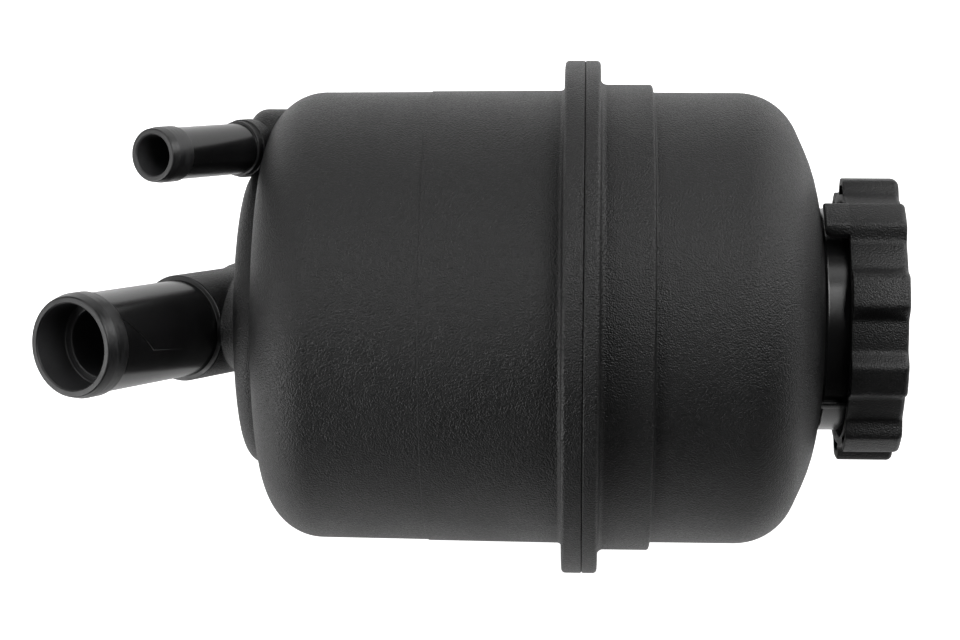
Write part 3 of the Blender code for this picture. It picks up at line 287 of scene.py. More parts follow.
def at_angle(outline, angle):
    """Stands (radius, height) points at an angle round the can's axis."""
    return [Vector((r * math.cos(angle), r * math.sin(angle), z)) for r, z in outline]


def thread_ridge(name, radius, height, bottom, top, pitch, inward=False):
    """A right-handed thread's ridge with faded ends, on the outside or the inside of a wall."""
    per_turn = 72
    fade_steps = 12
    rooted = 0.3 * MM
    crest_drop = 0.05 * MM
    turns = (top - bottom) / pitch
    count = round(per_turn * turns)
    half = 0.3 * pitch
    half_crest = half * 0.45
    sign = -1 if inward else 1
    sections = []
    for index in range(count + 1):
        angle = math.tau * index / per_turn
        z = bottom + pitch * index / per_turn
        fade = min(1, index / fade_steps, (count - index) / fade_steps)
        crest = radius + sign * (height * fade - crest_drop)
        foot = radius - sign * rooted
        sections.append(at_angle(
            ((foot, z - half), (crest, z - half_crest), (crest, z + half_crest), (foot, z + half)), angle))
    return swept(name, sections)


# The lower bowl and its spigots. Collars are given as radius and length from the elbow, and
# counterbores as radius and depth from the mouth.

SUCTION_ELBOW_Z = -61.7 * MM
SUCTION_COLLAR = (10.1 * MM, 22.2 * MM)
SUCTION_BALL = 10.55 * MM
SUCTION_WEB = 1.4 * MM
SUCTION_MOUTH = 9.1 * MM
SUCTION_BARB = 9.6 * MM
SUCTION_BARB_LENGTH = 5.2 * MM
SUCTION_BORE = 6.25 * MM
SUCTION_COUNTERBORE = (7.85 * MM, 7.7 * MM)
RETURN_ELBOW_Z = -57.9 * MM
RETURN_COLLAR = (5.3 * MM, 10.1 * MM)
RETURN_BASE = (5.58 * MM, 8.7 * MM)
RETURN_BASE_LENGTH = 3.0 * MM
RETURN_MOUTH = 4.92 * MM
RETURN_BARB = 5.17 * MM
RETURN_BARB_LENGTH = 6.1 * MM
RETURN_BORE = 2.9 * MM
RETURN_BORE_TAPER = 14.0 * MM
RETURN_COUNTERBORE = (3.8 * MM, 1.0 * MM)
RETURN_INLET_TOP = -52.0 * MM
ELBOW_MARGIN = 0.25 * MM
ELBOW_RISE = 6.0 * MM
MOUTH_CHAMFER = 0.25 * MM
ROOT_FILLET = 1.9 * MM
TURRET_RADIUS = 7.3 * MM
TURRET_BOTTOM = -61.3 * MM
TURRET_EDGE = 3.6 * MM
TURRET_OVERLAP = 2.0 * MM
GROOVE_WIDTH = 4.7 * MM
GROOVE_DEPTH = 0.5 * MM
DISC_HEIGHT = 4.7 * MM
DISC_EDGE = 4.2 * MM
FLOOR_WALL = 2.5 * MM
BAFFLE_SEAT = 2.25 * MM
BAFFLE_CLEARANCE = 0.3 * MM
STUB_HEIGHT = 9.0 * MM
SEAL_REACH = 2.2 * MM
LOWER_DRAFT = 0.55 * MM
MOULD_SPLIT_DEPTH = 25.8 * MM
MOULD_SPLIT_STEP = (0.15 * MM, 0.06 * MM)


def foot_geometry(can):
    """Centre radius, angle and heights where the foot's rounding runs into the groove and the disc."""
    centre = can.lower_radius - LOWER_DRAFT - can.foot_width
    outer = can.disc_radius + GROOVE_WIDTH
    angle = math.acos((outer - centre) / can.foot_width)
    groove_floor = -can.shoulder_depth - can.foot_depth * math.sin(angle) + GROOVE_DEPTH
    return centre, outer, angle, groove_floor, groove_floor - DISC_HEIGHT


def spigot_place(x, elbow_z, tilt):
    """Puts an upright turned shape on a spigot's axis, with its foot at the elbow."""
    return Matrix.Translation((x, 0, elbow_z)) @ Matrix.Rotation(math.pi / 2 + tilt, 4, "X")


def suction_outline(settings):
    """Outer profile of the large spigot, from its mouth back to the elbow."""
    radius, length = settings.suction_radius, settings.suction_length
    collar, collar_length = SUCTION_COLLAR
    return round_corners([
        (0, length, 0),
        (SUCTION_MOUTH, length, 0.4 * MM),
        (SUCTION_BARB, length - 2.0 * MM, 0.9 * MM),
        (SUCTION_BARB, length - SUCTION_BARB_LENGTH + 0.35 * MM, 0.2 * MM),
        (radius, length - SUCTION_BARB_LENGTH, 0.12 * MM),
        (radius, collar_length, 0.12 * MM),
        (collar, collar_length, 0.3 * MM),
        (collar, 0, 0),
        (0, 0, 0),
    ], closed=False)


def return_outline(settings):
    """Outer profile of the small spigot, from its mouth back to the elbow."""
    radius, length = settings.return_radius, settings.return_length
    collar, collar_length = RETURN_COLLAR
    base, base_length = RETURN_BASE
    return round_corners([
        (0, length, 0),
        (RETURN_MOUTH, length, 0.3 * MM),
        (RETURN_BARB, length - 1.9 * MM, 0.6 * MM),
        (RETURN_BARB, length - RETURN_BARB_LENGTH + 0.35 * MM, 0.2 * MM),
        (radius, length - RETURN_BARB_LENGTH, 0.12 * MM),
        (radius, collar_length, 0.1 * MM),
        (collar, collar_length, 0.2 * MM),
        (collar, base_length, 0.15 * MM),
        (base, base_length, 0.25 * MM),
        (base, base_length - RETURN_BASE_LENGTH, 0),
        (collar, base_length - RETURN_BASE_LENGTH, 0),
        (collar, 0, 0),
        (0, 0, 0),
    ], closed=False)


def bore_outline(counterbore, taper, bore, length):
    """A bore that narrows from its chamfered mouth, made 1 mm too long so that it cuts cleanly."""
    mouth, depth = counterbore
    return round_corners([
        (0, length + MM, 0),
        (mouth + MOUTH_CHAMFER, length + MM, 0),
        (mouth + MOUTH_CHAMFER, length, 0),
        (mouth, length - MOUTH_CHAMFER, 0.1 * MM),
        (mouth, length - depth, 0.3 * MM),
        (bore, length - depth - taper, 0.3 * MM),
        (bore, 0, 0),
        (0, 0, 0),
    ], closed=False)


def hemisphere(radius, height, steps=10):
    """Profile of a half ball that hangs from its equator's height."""
    points = arc(0, height, radius, radius, math.pi / 2, steps)
    points[-1].x = 0
    return points


def lower_outside(can):
    """Outer profile of the lower bowl, from the flange down to the outlet elbow's ball."""
    centre, outer, angle, groove_floor, disc_face = foot_geometry(can)
    step, step_depth = MOULD_SPLIT_STEP
    split = can.lower_radius - (LOWER_DRAFT - step) * MOULD_SPLIT_DEPTH / can.shoulder_depth
    upper = round_corners([
        (0, SEAM, 0),
        (FLANGE_RADIUS, SEAM, 0.35 * MM),
        (FLANGE_RADIUS, 0, 0.8 * MM),
        (can.lower_radius, 0, 0.9 * MM),
        (split, -MOULD_SPLIT_DEPTH, 0.03 * MM),
        (split - step, -MOULD_SPLIT_DEPTH - step_depth, 0.03 * MM),
        (centre + can.foot_width, -can.shoulder_depth, 0),
    ], closed=False)
    shoulder = arc(centre, -can.shoulder_depth, can.foot_width, can.foot_depth, angle, 24)
    groove = round_corners([
        (*shoulder[-2], 0),
        (*shoulder[-1], 0.3 * MM),
        (outer - 0.35 * MM, groove_floor, 0.25 * MM),
        (can.disc_radius, groove_floor, 0.3 * MM),
        (can.disc_radius, disc_face + DISC_EDGE, 0),
    ], closed=False)
    disc = arc(can.disc_radius - DISC_EDGE, disc_face + DISC_EDGE, DISC_EDGE, DISC_EDGE, math.pi / 2, 16)
    return upper[:-1] + shoulder[:-2] + groove[:-1] + disc + ball_root(SUCTION_BALL, disc_face)


def ball_root(radius, disc_face):
    """Concave root that runs from the disc's face into the outlet elbow's ball, and the ball below it."""
    drop = disc_face - ROOT_FILLET - SUCTION_ELBOW_Z
    reach = math.sqrt((radius + ROOT_FILLET) ** 2 - drop ** 2)
    meet = math.atan2(-drop, reach)
    root_steps = 8
    ball_steps = 10
    points = []
    for step in range(root_steps + 1):
        angle = math.pi / 2 + (math.pi / 2 - meet) * step / root_steps
        points.append(Vector((reach + ROOT_FILLET * math.cos(angle),
                              disc_face - ROOT_FILLET + ROOT_FILLET * math.sin(angle))))
    for step in range(1, ball_steps + 1):
        angle = -meet - (math.pi / 2 - meet) * step / ball_steps
        points.append(Vector((radius * math.cos(angle), radius * math.sin(angle) + SUCTION_ELBOW_Z)))
    points[-1].x = 0
    return points


def lower_inside(can):
    """Inner profile of the lower bowl, with the baffle's rebate, the outlet stub and the bore."""
    centre = foot_geometry(can)[0]
    floor = foot_geometry(can)[4] + FLOOR_WALL
    wall = can.lower_radius - can.wall
    foot = can.wall - can.shoulder_depth - can.foot_depth
    recess = can.disc_radius - can.wall
    bore = SUCTION_BORE + ELBOW_MARGIN
    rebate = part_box("baffle_plate")[1].x + BAFFLE_CLEARANCE
    baffle_bottom = SEAM - BAFFLE_SEAT
    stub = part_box("filter_seal")[1].x - SEAL_REACH
    stub_top = floor + STUB_HEIGHT
    upper = round_corners([
        (0, SEAM + MM, 0),
        (rebate, SEAM + MM, 0),
        (rebate, baffle_bottom, 0),
        (wall, baffle_bottom, 0),
    ], closed=False)
    shoulder = arc(centre, -can.shoulder_depth, can.foot_width - can.wall, can.foot_depth - can.wall,
                   math.pi / 2, 10)
    lower = round_corners([
        (centre, foot, 0),
        (recess, foot, 0.5 * MM),
        (recess - 0.3 * MM, floor, DISC_EDGE - can.wall),
        (stub, floor, 0.8 * MM),
        (stub, stub_top, 0.5 * MM),
        (bore, stub_top, 0.5 * MM),
        (bore, SUCTION_ELBOW_Z, 0),
    ], closed=False)
    return upper + shoulder + lower[1:-1] + hemisphere(bore, SUCTION_ELBOW_Z, 6)


def root_fillet(name, place, collar, disc_face, radius):
    """Concave web where a slanted collar leaves the floor disc, as a ball that rolls round it cuts it."""
    sections = []
    along = place.to_3x3() @ Vector((0, 0, 1))
    across = Vector((1, 0, 0))
    upward = along.cross(across)
    if upward.z < 0:
        upward.negate()
    start = place.translation
    steps = 60
    arc_points = 10
    rooted = 0.6 * MM
    for index in range(steps + 1):
        angle = math.pi * index / steps
        radial = across * math.cos(angle) + upward * math.sin(angle)
        reach = (disc_face - radius - start.z - (collar + radius) * radial.z) / along.z
        centre = start + along * reach + radial * (collar + radius)
        first = -radial
        last = Vector((0, 0, 1))
        span = first.angle(last)
        section = []
        for step in range(arc_points + 1):
            share = step / arc_points
            if span < 0.001:
                direction = first
            else:
                direction = (first * math.sin((1 - share) * span)
                             + last * math.sin(share * span)) / math.sin(span)
            section.append(centre + direction * radius)
        section.append(section[-1] + Vector((0, 0, rooted)))
        section.append(section[0] - radial * rooted)
        sections.append(section)
    return swept(name, sections)


# Corners of the large tube's parting line: millimetres from the elbow, degrees round the tube from the
# +X side, and height of the crest in millimetres
PARTING_PATH = ((48.2, 125.0, 0.18), (41.3, 83.5, 0.18), (40.9, 81.9, 0.05), (31.7, 76.7, 0.02))


def parting_line(tube, place):
    """Hair-thin flash line that the mould's slides left on the large tube."""
    steps = 24
    half_width = 0.11 * MM
    rooted = -0.03 * MM
    sections = []
    for (start, first, crest), (end, last, next_crest) in zip(PARTING_PATH, PARTING_PATH[1:]):
        for step in range(steps):
            share = step / steps
            along = (start + (end - start) * share) * MM
            angle = math.radians(first + (last - first) * share)
            height = (crest + (next_crest - crest) * share) * MM
            slope = math.atan2(math.radians(last - first) * tube, (end - start) * MM)
            section = []
            for across, rise in ((-half_width, rooted), (0, height), (half_width, rooted)):
                turn = angle + across * math.cos(slope) / tube
                radius = tube + rise
                section.append(place @ Vector((radius * math.cos(turn), radius * math.sin(turn),
                                               along - across * math.sin(slope))))
            sections.append(section)
    return swept("parting_line", sections)


def build_lower_bowl(can, spigots):
    """Lower bowl with flange, floor disc, turret and both spigots, and its bores."""
    disc_face = foot_geometry(can)[4]
    elbow_steps = spigots.steps - 4  # Other facets than the spigot's, so that no two edges coincide
    shell = turned("lower_bowl", lower_outside(can), can.steps, closed=False)
    turret_place = Matrix.Translation((-spigots.return_offset, 0, 0))
    turret_top = TURRET_OVERLAP - can.shoulder_depth
    turret = turned("turret", round_corners([
        (0, turret_top, 0),
        (TURRET_RADIUS, turret_top, 0),
        (TURRET_RADIUS, TURRET_BOTTOM, TURRET_EDGE),
        (0, TURRET_BOTTOM, 0),
    ], closed=False), spigots.steps, turret_place, closed=False)
    ball = RETURN_COLLAR[0] + ELBOW_MARGIN
    elbow = turned("elbow", [
        Vector((0, RETURN_ELBOW_Z + ELBOW_RISE)), Vector((ball, RETURN_ELBOW_Z + ELBOW_RISE)),
        *hemisphere(ball, RETURN_ELBOW_Z),
    ], elbow_steps, turret_place, closed=False)
    suction_place = spigot_place(spigots.suction_offset, SUCTION_ELBOW_Z, spigots.tilt)
    return_place = spigot_place(-spigots.return_offset, RETURN_ELBOW_Z, spigots.tilt)
    half_facet = Matrix.Rotation(math.pi / spigots.steps, 4, "Z")
    suction = turned("suction", suction_outline(spigots), spigots.steps, suction_place, closed=False)
    back = turned("back", return_outline(spigots), spigots.steps, return_place, closed=False)
    combine(shell, [turret, elbow, suction, back], "UNION")
    suction_bore = turned(
        "suction_bore", bore_outline(SUCTION_COUNTERBORE, 0, SUCTION_BORE, spigots.suction_length),
        spigots.steps, suction_place @ half_facet, closed=False)
    back_bore = turned(
        "back_bore", bore_outline(RETURN_COUNTERBORE, RETURN_BORE_TAPER, RETURN_BORE, spigots.return_length),
        spigots.steps, return_place @ half_facet, closed=False)
    cavity = turned("cavity", lower_inside(can), can.steps, closed=False)
    inlet_bore = RETURN_BORE + ELBOW_MARGIN
    inlet = turned("inlet", [
        Vector((0, RETURN_INLET_TOP)), Vector((inlet_bore, RETURN_INLET_TOP)),
        *hemisphere(inlet_bore, RETURN_ELBOW_Z, 6),
    ], elbow_steps, turret_place, closed=False)
    combine(shell, [cavity, suction_bore, back_bore, inlet], "DIFFERENCE")
    web = root_fillet("root_web", suction_place, SUCTION_COLLAR[0], disc_face, SUCTION_WEB)
    append_meshes(shell, web, parting_line(spigots.suction_radius, suction_place))
    return shell


def along_spigot(point, elbow_z, x, tilt):
    """Distance of a point along a spigot's axis, and away from that axis."""
    start = Vector((x, 0, elbow_z))
    along = Vector((0, -math.cos(tilt), -math.sin(tilt)))
    reach = (point - start).dot(along)
    return reach, (point - start - along * reach).length


# The finishes that a bowl's faces take, as its material slots
GRAINED, SMOOTH, BARB, BORE = range(4)


def spigot_zone(spigots):
    """A test that says which finish a point of the lower bowl has."""
    margin = 0.6 * MM
    face_depth = 0.1 * MM
    face_rise = 0.01 * MM
    # Elbow, axis, collar, length, length of the barb, radius of the bore, radius of the tube
    runs = (
        (SUCTION_ELBOW_Z, spigots.suction_offset, SUCTION_COLLAR, spigots.suction_length,
         SUCTION_BARB_LENGTH + 0.1 * MM, SUCTION_COUNTERBORE[0] + 0.05 * MM, spigots.suction_radius),
        (RETURN_ELBOW_Z, -spigots.return_offset, RETURN_COLLAR, spigots.return_length,
         RETURN_BARB_LENGTH + 0.2 * MM, RETURN_COUNTERBORE[0] + 0.3 * MM, spigots.return_radius),
    )

    def zone(point):
        for elbow_z, x, (collar, collar_length), full_length, barb_length, bore, tube in runs:
            reach, away = along_spigot(point, elbow_z, x, spigots.tilt)
            if reach < 0.2 * collar_length or away > collar + margin:
                continue
            # Faces inside a bore take a lighter copy of the spigots' plastic: painted light where the lamps
            # hardly reach
            if away <= bore and reach > 0.3 * collar_length:
                return BORE
            on_collar_face = reach > collar_length - face_depth and away > tube + face_rise
            if reach > full_length - barb_length or on_collar_face:
                return BARB
            if reach > collar_length - margin:
                return SMOOTH
        return GRAINED

    return zone


def set_zones(item, zone):
    """Gives each face the material slot of the zone that its middle lies in."""
    for face in item.data.polygons:
        face.material_index = zone(face.center)


def smooth(item, sharp=math.radians(32)):
    """Shades a mesh smooth, but for the edges that turn more than an angle."""
    item.data.shade_smooth()
    item.data.set_sharp_from_angle(angle=sharp)


class RESERVOIR_OT_lower_bowl(bpy.types.Operator):
    """Lower bowl with its weld flange, floor disc and both hose spigots."""

    bl_idname = "reservoir.lower_bowl"
    bl_label = "Lower bowl"

    def execute(self, context):
        scene = context.scene
        shell = build_lower_bowl(scene.reservoir_can, scene.reservoir_spigots)
        # The fourth slot lightens the bores with painted light
        for material in (grained_plastic(), smooth_plastic(), barb_plastic(), bore_painted_light()):
            shell.data.materials.append(material)
        set_zones(shell, spigot_zone(scene.reservoir_spigots))
        smooth(shell)
        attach(shell, "reservoir")
        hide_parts("lower_shell")
        return {"FINISHED"}


# The upper bowl

UPPER_FLANGE = 2.95 * MM
CROWN_ANGLE = math.radians(11.5)
CROWN_EDGE = 29.9 * MM
CROWN_ROUNDING = 33 * MM
SLOPE_ANGLE = math.radians(25.0)
SHOULDER_ROUNDING = 18 * MM
NECK_WALL = 3.0 * MM
NECK_THREAD_HEIGHT = 0.6 * MM
NECK_THREAD_ABOVE_ROOT = 5.2 * MM
NECK_THREAD_BELOW_RIM = 1.2 * MM
NECK_RIB = (2.4 * MM, 1.6 * MM, 9.8 * MM)
NECK_RIB_ANGLE = math.radians(-50)
SMOOTH_NECK_EDGE = 1.5 * MM


def dome_corners(can, offset):
    """Corners of the dome's crown and shoulder, moved in by a wall's thickness."""
    crown = math.tan(CROWN_ANGLE)
    slope = math.tan(SLOPE_ANGLE)
    crown_z = can.neck_root - offset / math.cos(CROWN_ANGLE)
    edge_z = can.neck_root - crown * (CROWN_EDGE - can.neck_radius)
    slope_z = edge_z - offset / math.cos(SLOPE_ANGLE)
    edge = (slope_z + slope * CROWN_EDGE - crown_z - crown * can.neck_radius) / (slope - crown)
    wall = can.upper_radius - offset
    root_r = can.neck_radius if offset == 0 else can.neck_radius - NECK_WALL
    return [
        (root_r, crown_z - crown * (root_r - can.neck_radius), 0.8 * MM),
        (edge, crown_z - crown * (edge - can.neck_radius), CROWN_ROUNDING - offset),
        (wall, slope_z - slope * (wall - CROWN_EDGE), SHOULDER_ROUNDING - offset),
    ]


def build_upper_bowl(can, cap):
    """Upper bowl with flange, band, dome and threaded neck, and the neck's two ribs."""
    flange_top = SEAM + UPPER_FLANGE
    band_top = flange_top + can.band_height
    shell = turned("upper_bowl", round_corners([
        (can.neck_radius, NECK_TOP, 0.5 * MM),
        *dome_corners(can, 0),
        (can.upper_radius, band_top, 0.45 * MM),
        (can.band_radius, band_top - 0.1 * MM, 0.5 * MM),
        (can.band_radius, flange_top, 1.2 * MM),
        (FLANGE_RADIUS, flange_top, 0.8 * MM),
        (FLANGE_RADIUS, SEAM, 0.35 * MM),
        (can.upper_radius - can.wall, SEAM, 0.3 * MM),
        *reversed(dome_corners(can, can.wall)),
        (can.neck_radius - NECK_WALL, NECK_TOP, 0.5 * MM),
    ], facet=math.radians(6)), can.steps)
    rib_place = (can.neck_radius - 0.3 * MM, 0, can.neck_root - MM + NECK_RIB[2] / 2)
    ribs = [block(f"neck_rib_{index}", NECK_RIB, rib_place, NECK_RIB_ANGLE + math.pi * index, 0.2 * MM)
            for index in range(2)]
    combine(shell, ribs, "UNION")
    thread = thread_ridge("thread", can.neck_radius, NECK_THREAD_HEIGHT,
                          can.neck_root + NECK_THREAD_ABOVE_ROOT, NECK_TOP - NECK_THREAD_BELOW_RIM,
                          cap.thread_pitch)
    append_meshes(shell, thread)
    return shell


class RESERVOIR_OT_upper_bowl(bpy.types.Operator):
    """Upper bowl with its weld flange, raised band, dome and threaded neck."""

    bl_idname = "reservoir.upper_bowl"
    bl_label = "Upper bowl"

    def execute(self, context):
        scene = context.scene
        shell = build_upper_bowl(scene.reservoir_can, scene.reservoir_cap)
        for material in (grained_plastic(), smooth_plastic()):
            shell.data.materials.append(material)
        root = scene.reservoir_can.neck_root - 0.3 * MM
        edge = scene.reservoir_can.neck_radius + SMOOTH_NECK_EDGE
        set_zones(shell, lambda point: SMOOTH if point.z > root and point.xy.length < edge else GRAINED)
        smooth(shell)
        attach(shell, "reservoir")
        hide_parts("upper_shell")
        return {"FINISHED"}


# The screw cap. A flank is given as shares of a lobe's pitch: how far from the lobe's middle it ends,
# and its width.

LOBE_FLANK = (0.33, 0.18)
POCKET_FLANK = (0.24, 0.06)
LOBE_STEPS = 36
NECK_CLEARANCE = 1.4 * MM
SLEEVE_WALL = 1.3 * MM
LOBE_WALL = 1.5 * MM
POCKET_WALL = 1.0 * MM
DISH_DEPTH = 0.35 * MM
CAP_THREAD_HEIGHT = 0.35 * MM
CAP_THREAD_ABOVE_RIM = 1.4 * MM
CAP_THREAD_BELOW_SEAL_TOP = 2.6 * MM
VENT_RING_OUTER = 15.7 * MM
VENT_RING_LIP = 13.4 * MM
VENT_RING_BORE = 14.3 * MM
VENT_RING_STEPS = 96
VENT_SLOT = (34 * MM, 4 * MM, 1.6 * MM)
TAB_WIDTH = 8.6 * MM
TAB_CORNER = 1.1 * MM


def flank(cap, angle, end, width):
    """How far up a lobe's flank an angle lies, from 0 in the valley to 1 on the lobe.

    One valley lies on the -Y side."""
    pitch = math.tau / cap.lobes
    share = abs(((angle + math.pi / 2) / pitch) % 1 - 0.5)
    return min(max((end - share) / width, 0), 1)


def lobed_radius(cap, angle):
    """The cap's outline: flat valleys and rounded lobes."""
    share = flank(cap, angle, *LOBE_FLANK)
    rise = share * share * (3 - 2 * share)
    return cap.valley_radius + (cap.lobe_radius - cap.valley_radius) * rise


def build_screw_cap(can, cap):
    """Cap with dished top, lobed skirt, hollow lobes, threaded sleeve, roof, vent ring and lock tab."""
    underside = CAP_TOP - cap.roof
    rim = underside - cap.skirt
    bore = can.neck_radius + NECK_CLEARANCE
    sleeve = bore + SLEEVE_WALL
    chamfer = 0.12 * MM
    top = [(0, CAP_TOP - DISH_DEPTH), (17.6 * MM, CAP_TOP - DISH_DEPTH),
           (18.2 * MM, CAP_TOP - DISH_DEPTH * 0.8), (18.8 * MM, CAP_TOP - DISH_DEPTH * 0.2),
           (19.4 * MM, CAP_TOP)]
    samples = cap.lobes * LOBE_STEPS
    sections = []
    for index in range(samples):
        angle = math.tau * index / samples
        skin = lobed_radius(cap, angle)
        pocket = flank(cap, angle, *POCKET_FLANK)
        hollow = sleeve + 0.05 * MM + max(0, skin - LOBE_WALL - sleeve) * pocket
        edge = [(skin - cap.edge - 1.2 * MM, CAP_TOP),
                *((skin - cap.edge + cap.edge * math.sin(a), CAP_TOP - cap.edge + cap.edge * math.cos(a))
                  for a in [math.pi / 2 * step / 8 for step in range(9)])]
        lip = [(skin, rim + 0.25 * MM), (skin - 0.08 * MM, rim + 0.08 * MM), (skin - 0.25 * MM, rim)]
        pocket_roof = rim + (underside - POCKET_WALL - rim) * pocket
        under = [(hollow + chamfer, rim), (hollow, rim + chamfer * pocket),
                 (hollow, pocket_roof - 0.1 * MM * pocket), (sleeve, pocket_roof),
                 (sleeve, rim + chamfer * pocket), (sleeve - chamfer, rim),
                 (bore + 0.35 * MM, rim), (bore, rim + 0.35 * MM), (bore, underside), (0, underside)]
        sections.append(at_angle(top + edge + lip + under, angle))
    skin = swept("screw_cap", sections, closed_path=True, closed_section=False)
    shape = bmesh.new()
    shape.from_mesh(skin.data)
    bmesh.ops.remove_doubles(shape, verts=shape.verts, dist=0.002 * MM)
    bmesh.ops.dissolve_degenerate(shape, edges=shape.edges, dist=0.001 * MM)
    bmesh.ops.recalc_face_normals(shape, faces=shape.faces)
    shape.to_mesh(skin.data)
    shape.free()
    thread = thread_ridge("cap_thread", bore, CAP_THREAD_HEIGHT, rim + CAP_THREAD_ABOVE_RIM,
                          SEAL_TOP - CAP_THREAD_BELOW_SEAL_TOP, cap.thread_pitch, inward=True)
    append_meshes(skin, vent_ring(underside), thread, lock_tab(cap, rim))
    return skin


def vent_ring(underside):
    """Ring under the cap's roof that holds the vent's plug, with four slots for the air."""
    ring_bottom = PLUG_BOTTOM - 1.2 * MM
    ring_top = underside + 0.5 * MM
    groove_bottom = PLUG_BOTTOM - 0.3 * MM
    ring = turned("vent_ring", round_corners([
        (VENT_RING_OUTER, ring_top, 0),
        (VENT_RING_OUTER, ring_bottom, 0.4 * MM),
        (VENT_RING_LIP, ring_bottom, 0.3 * MM),
        (VENT_RING_LIP, groove_bottom, 0),
        (VENT_RING_BORE, groove_bottom, 0),
        (VENT_RING_BORE, ring_top, 0),
    ]), VENT_RING_STEPS)
    slot_place = (0, 0, underside - 1.2 * MM)
    slots = [block(f"slot_{index}", VENT_SLOT, slot_place, math.pi / 4 + math.pi / 2 * index)
             for index in range(2)]
    combine(ring, slots, "DIFFERENCE")
    return ring


def lock_tab(cap, rim):
    """Tab that stands down from one lobe's skirt and locks the cap."""
    middle = -math.pi / 2 - 1.5 * math.tau / cap.lobes
    columns = 20
    root = rim + 0.4 * MM
    depth = rim - TAB_BOTTOM
    sections = []
    for index in range(columns + 1):
        across = TAB_WIDTH * (index / columns - 0.5)
        angle = middle + across / cap.lobe_radius
        skin = lobed_radius(cap, angle)
        outside = skin - 0.06 * MM
        inside = skin - LOBE_WALL
        beside = max(0, abs(across) - (TAB_WIDTH / 2 - TAB_CORNER))
        bottom = rim - depth + TAB_CORNER - math.sqrt(max(0, TAB_CORNER * TAB_CORNER - beside * beside))
        outline = [(outside, root), (outside, bottom + 0.3 * MM), (skin - 0.35 * MM, bottom),
                   (skin - 1.2 * MM, bottom), (inside, bottom + 0.3 * MM), (inside, root)]
        sections.append(at_angle(outline, angle))
    return swept("lock_tab", sections)


class RESERVOIR_OT_screw_cap(bpy.types.Operator):
    """Lobed screw cap with its lock tab, threaded sleeve and vent ring."""

    bl_idname = "reservoir.screw_cap"
    bl_label = "Screw cap"

    def execute(self, context):
        scene = context.scene
        cap = build_screw_cap(scene.reservoir_can, scene.reservoir_cap)
        cap.data.materials.append(cap_plastic())
        smooth(cap)
        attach(cap, "cap")
        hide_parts("fill_cap")
        return {"FINISHED"}


# Finishes

GRAIN_DENSITY = 4500
GRAIN_PITS_SHARE = 0.35
CLOUD_DENSITY = 60.0
SPECK_DENSITY = 260
SPECK_RADIUS = 0.028
TONE_RANGE = (0.38, 0.62)
GRAIN_VISIBLE = 0.1
DUST_COLOUR = (0.3, 0.3, 0.3, 1)
DUSTY_CELLS_ABOVE = 0.72
MARK_STRETCH = (9, 9, 1)
MARK_DENSITY = 2600.0
METAL_DENSITY = 3000.0
METAL_DEPTH = 0.004 * MM


class Nodes:
    """Places shader nodes in a tree, one column after another."""

    def __init__(self, tree):
        self.tree = tree
        self.column = 0

    def add(self, kind, inputs=(), **values):
        node = self.tree.nodes.new(kind)
        node.location = (200 * self.column, 0)
        self.column += 1
        for key, value in values.items():
            setattr(node, key, value)
        for key, value in dict(inputs).items():
            if isinstance(value, bpy.types.NodeSocket):
                self.tree.links.new(value, node.inputs[key])
            else:
                node.inputs[key].default_value = value
        return node


def new_material(name):
    """A material with its Principled shader, and the object coordinates that its detail follows."""
    material = bpy.data.materials.new(name)
    material.use_nodes = True
    nodes = Nodes(material.node_tree)
    shader = material.node_tree.nodes["Principled BSDF"]
    place = nodes.add("ShaderNodeTexCoord").outputs["Object"]
    return material, nodes, shader, place


def once(build):
    """Builds a material or group the first time and gives the same one after that."""
    kept = []

    def get():
        if not kept:
            kept.append(build())
        return kept[0]

    return get


@once
def grain_group():
    """Spark-eroded grain: fine pits over a softer cloud, as a height."""
    tree = bpy.data.node_groups.new("Moulded grain", "ShaderNodeTree")
    tree.interface.new_socket("Vector", in_out="INPUT", socket_type="NodeSocketVector")
    density = tree.interface.new_socket("Density", in_out="INPUT", socket_type="NodeSocketFloat")
    density.default_value = GRAIN_DENSITY
    tree.interface.new_socket("Height", in_out="OUTPUT", socket_type="NodeSocketFloat")
    tree.interface.new_socket("Cloud", in_out="OUTPUT", socket_type="NodeSocketFloat")
    nodes = Nodes(tree)
    ends = nodes.add("NodeGroupInput")
    fine = nodes.add("ShaderNodeTexNoise", {"Vector": ends.outputs["Vector"],
                                            "Scale": ends.outputs["Density"], "Detail": 1.0})
    pits = nodes.add("ShaderNodeTexVoronoi", {"Vector": ends.outputs["Vector"],
                                              "Scale": ends.outputs["Density"]})
    cloud = nodes.add("ShaderNodeTexNoise", {"Vector": ends.outputs["Vector"], "Scale": CLOUD_DENSITY,
                                             "Detail": 4.0})
    mix = nodes.add("ShaderNodeMix", {"Factor": GRAIN_PITS_SHARE, "A": fine.outputs["Fac"],
                                      "B": pits.outputs["Distance"]})
    out = nodes.add("NodeGroupOutput")
    tree.links.new(mix.outputs["Result"], out.inputs["Height"])
    tree.links.new(cloud.outputs["Fac"], out.inputs["Cloud"])
    return tree


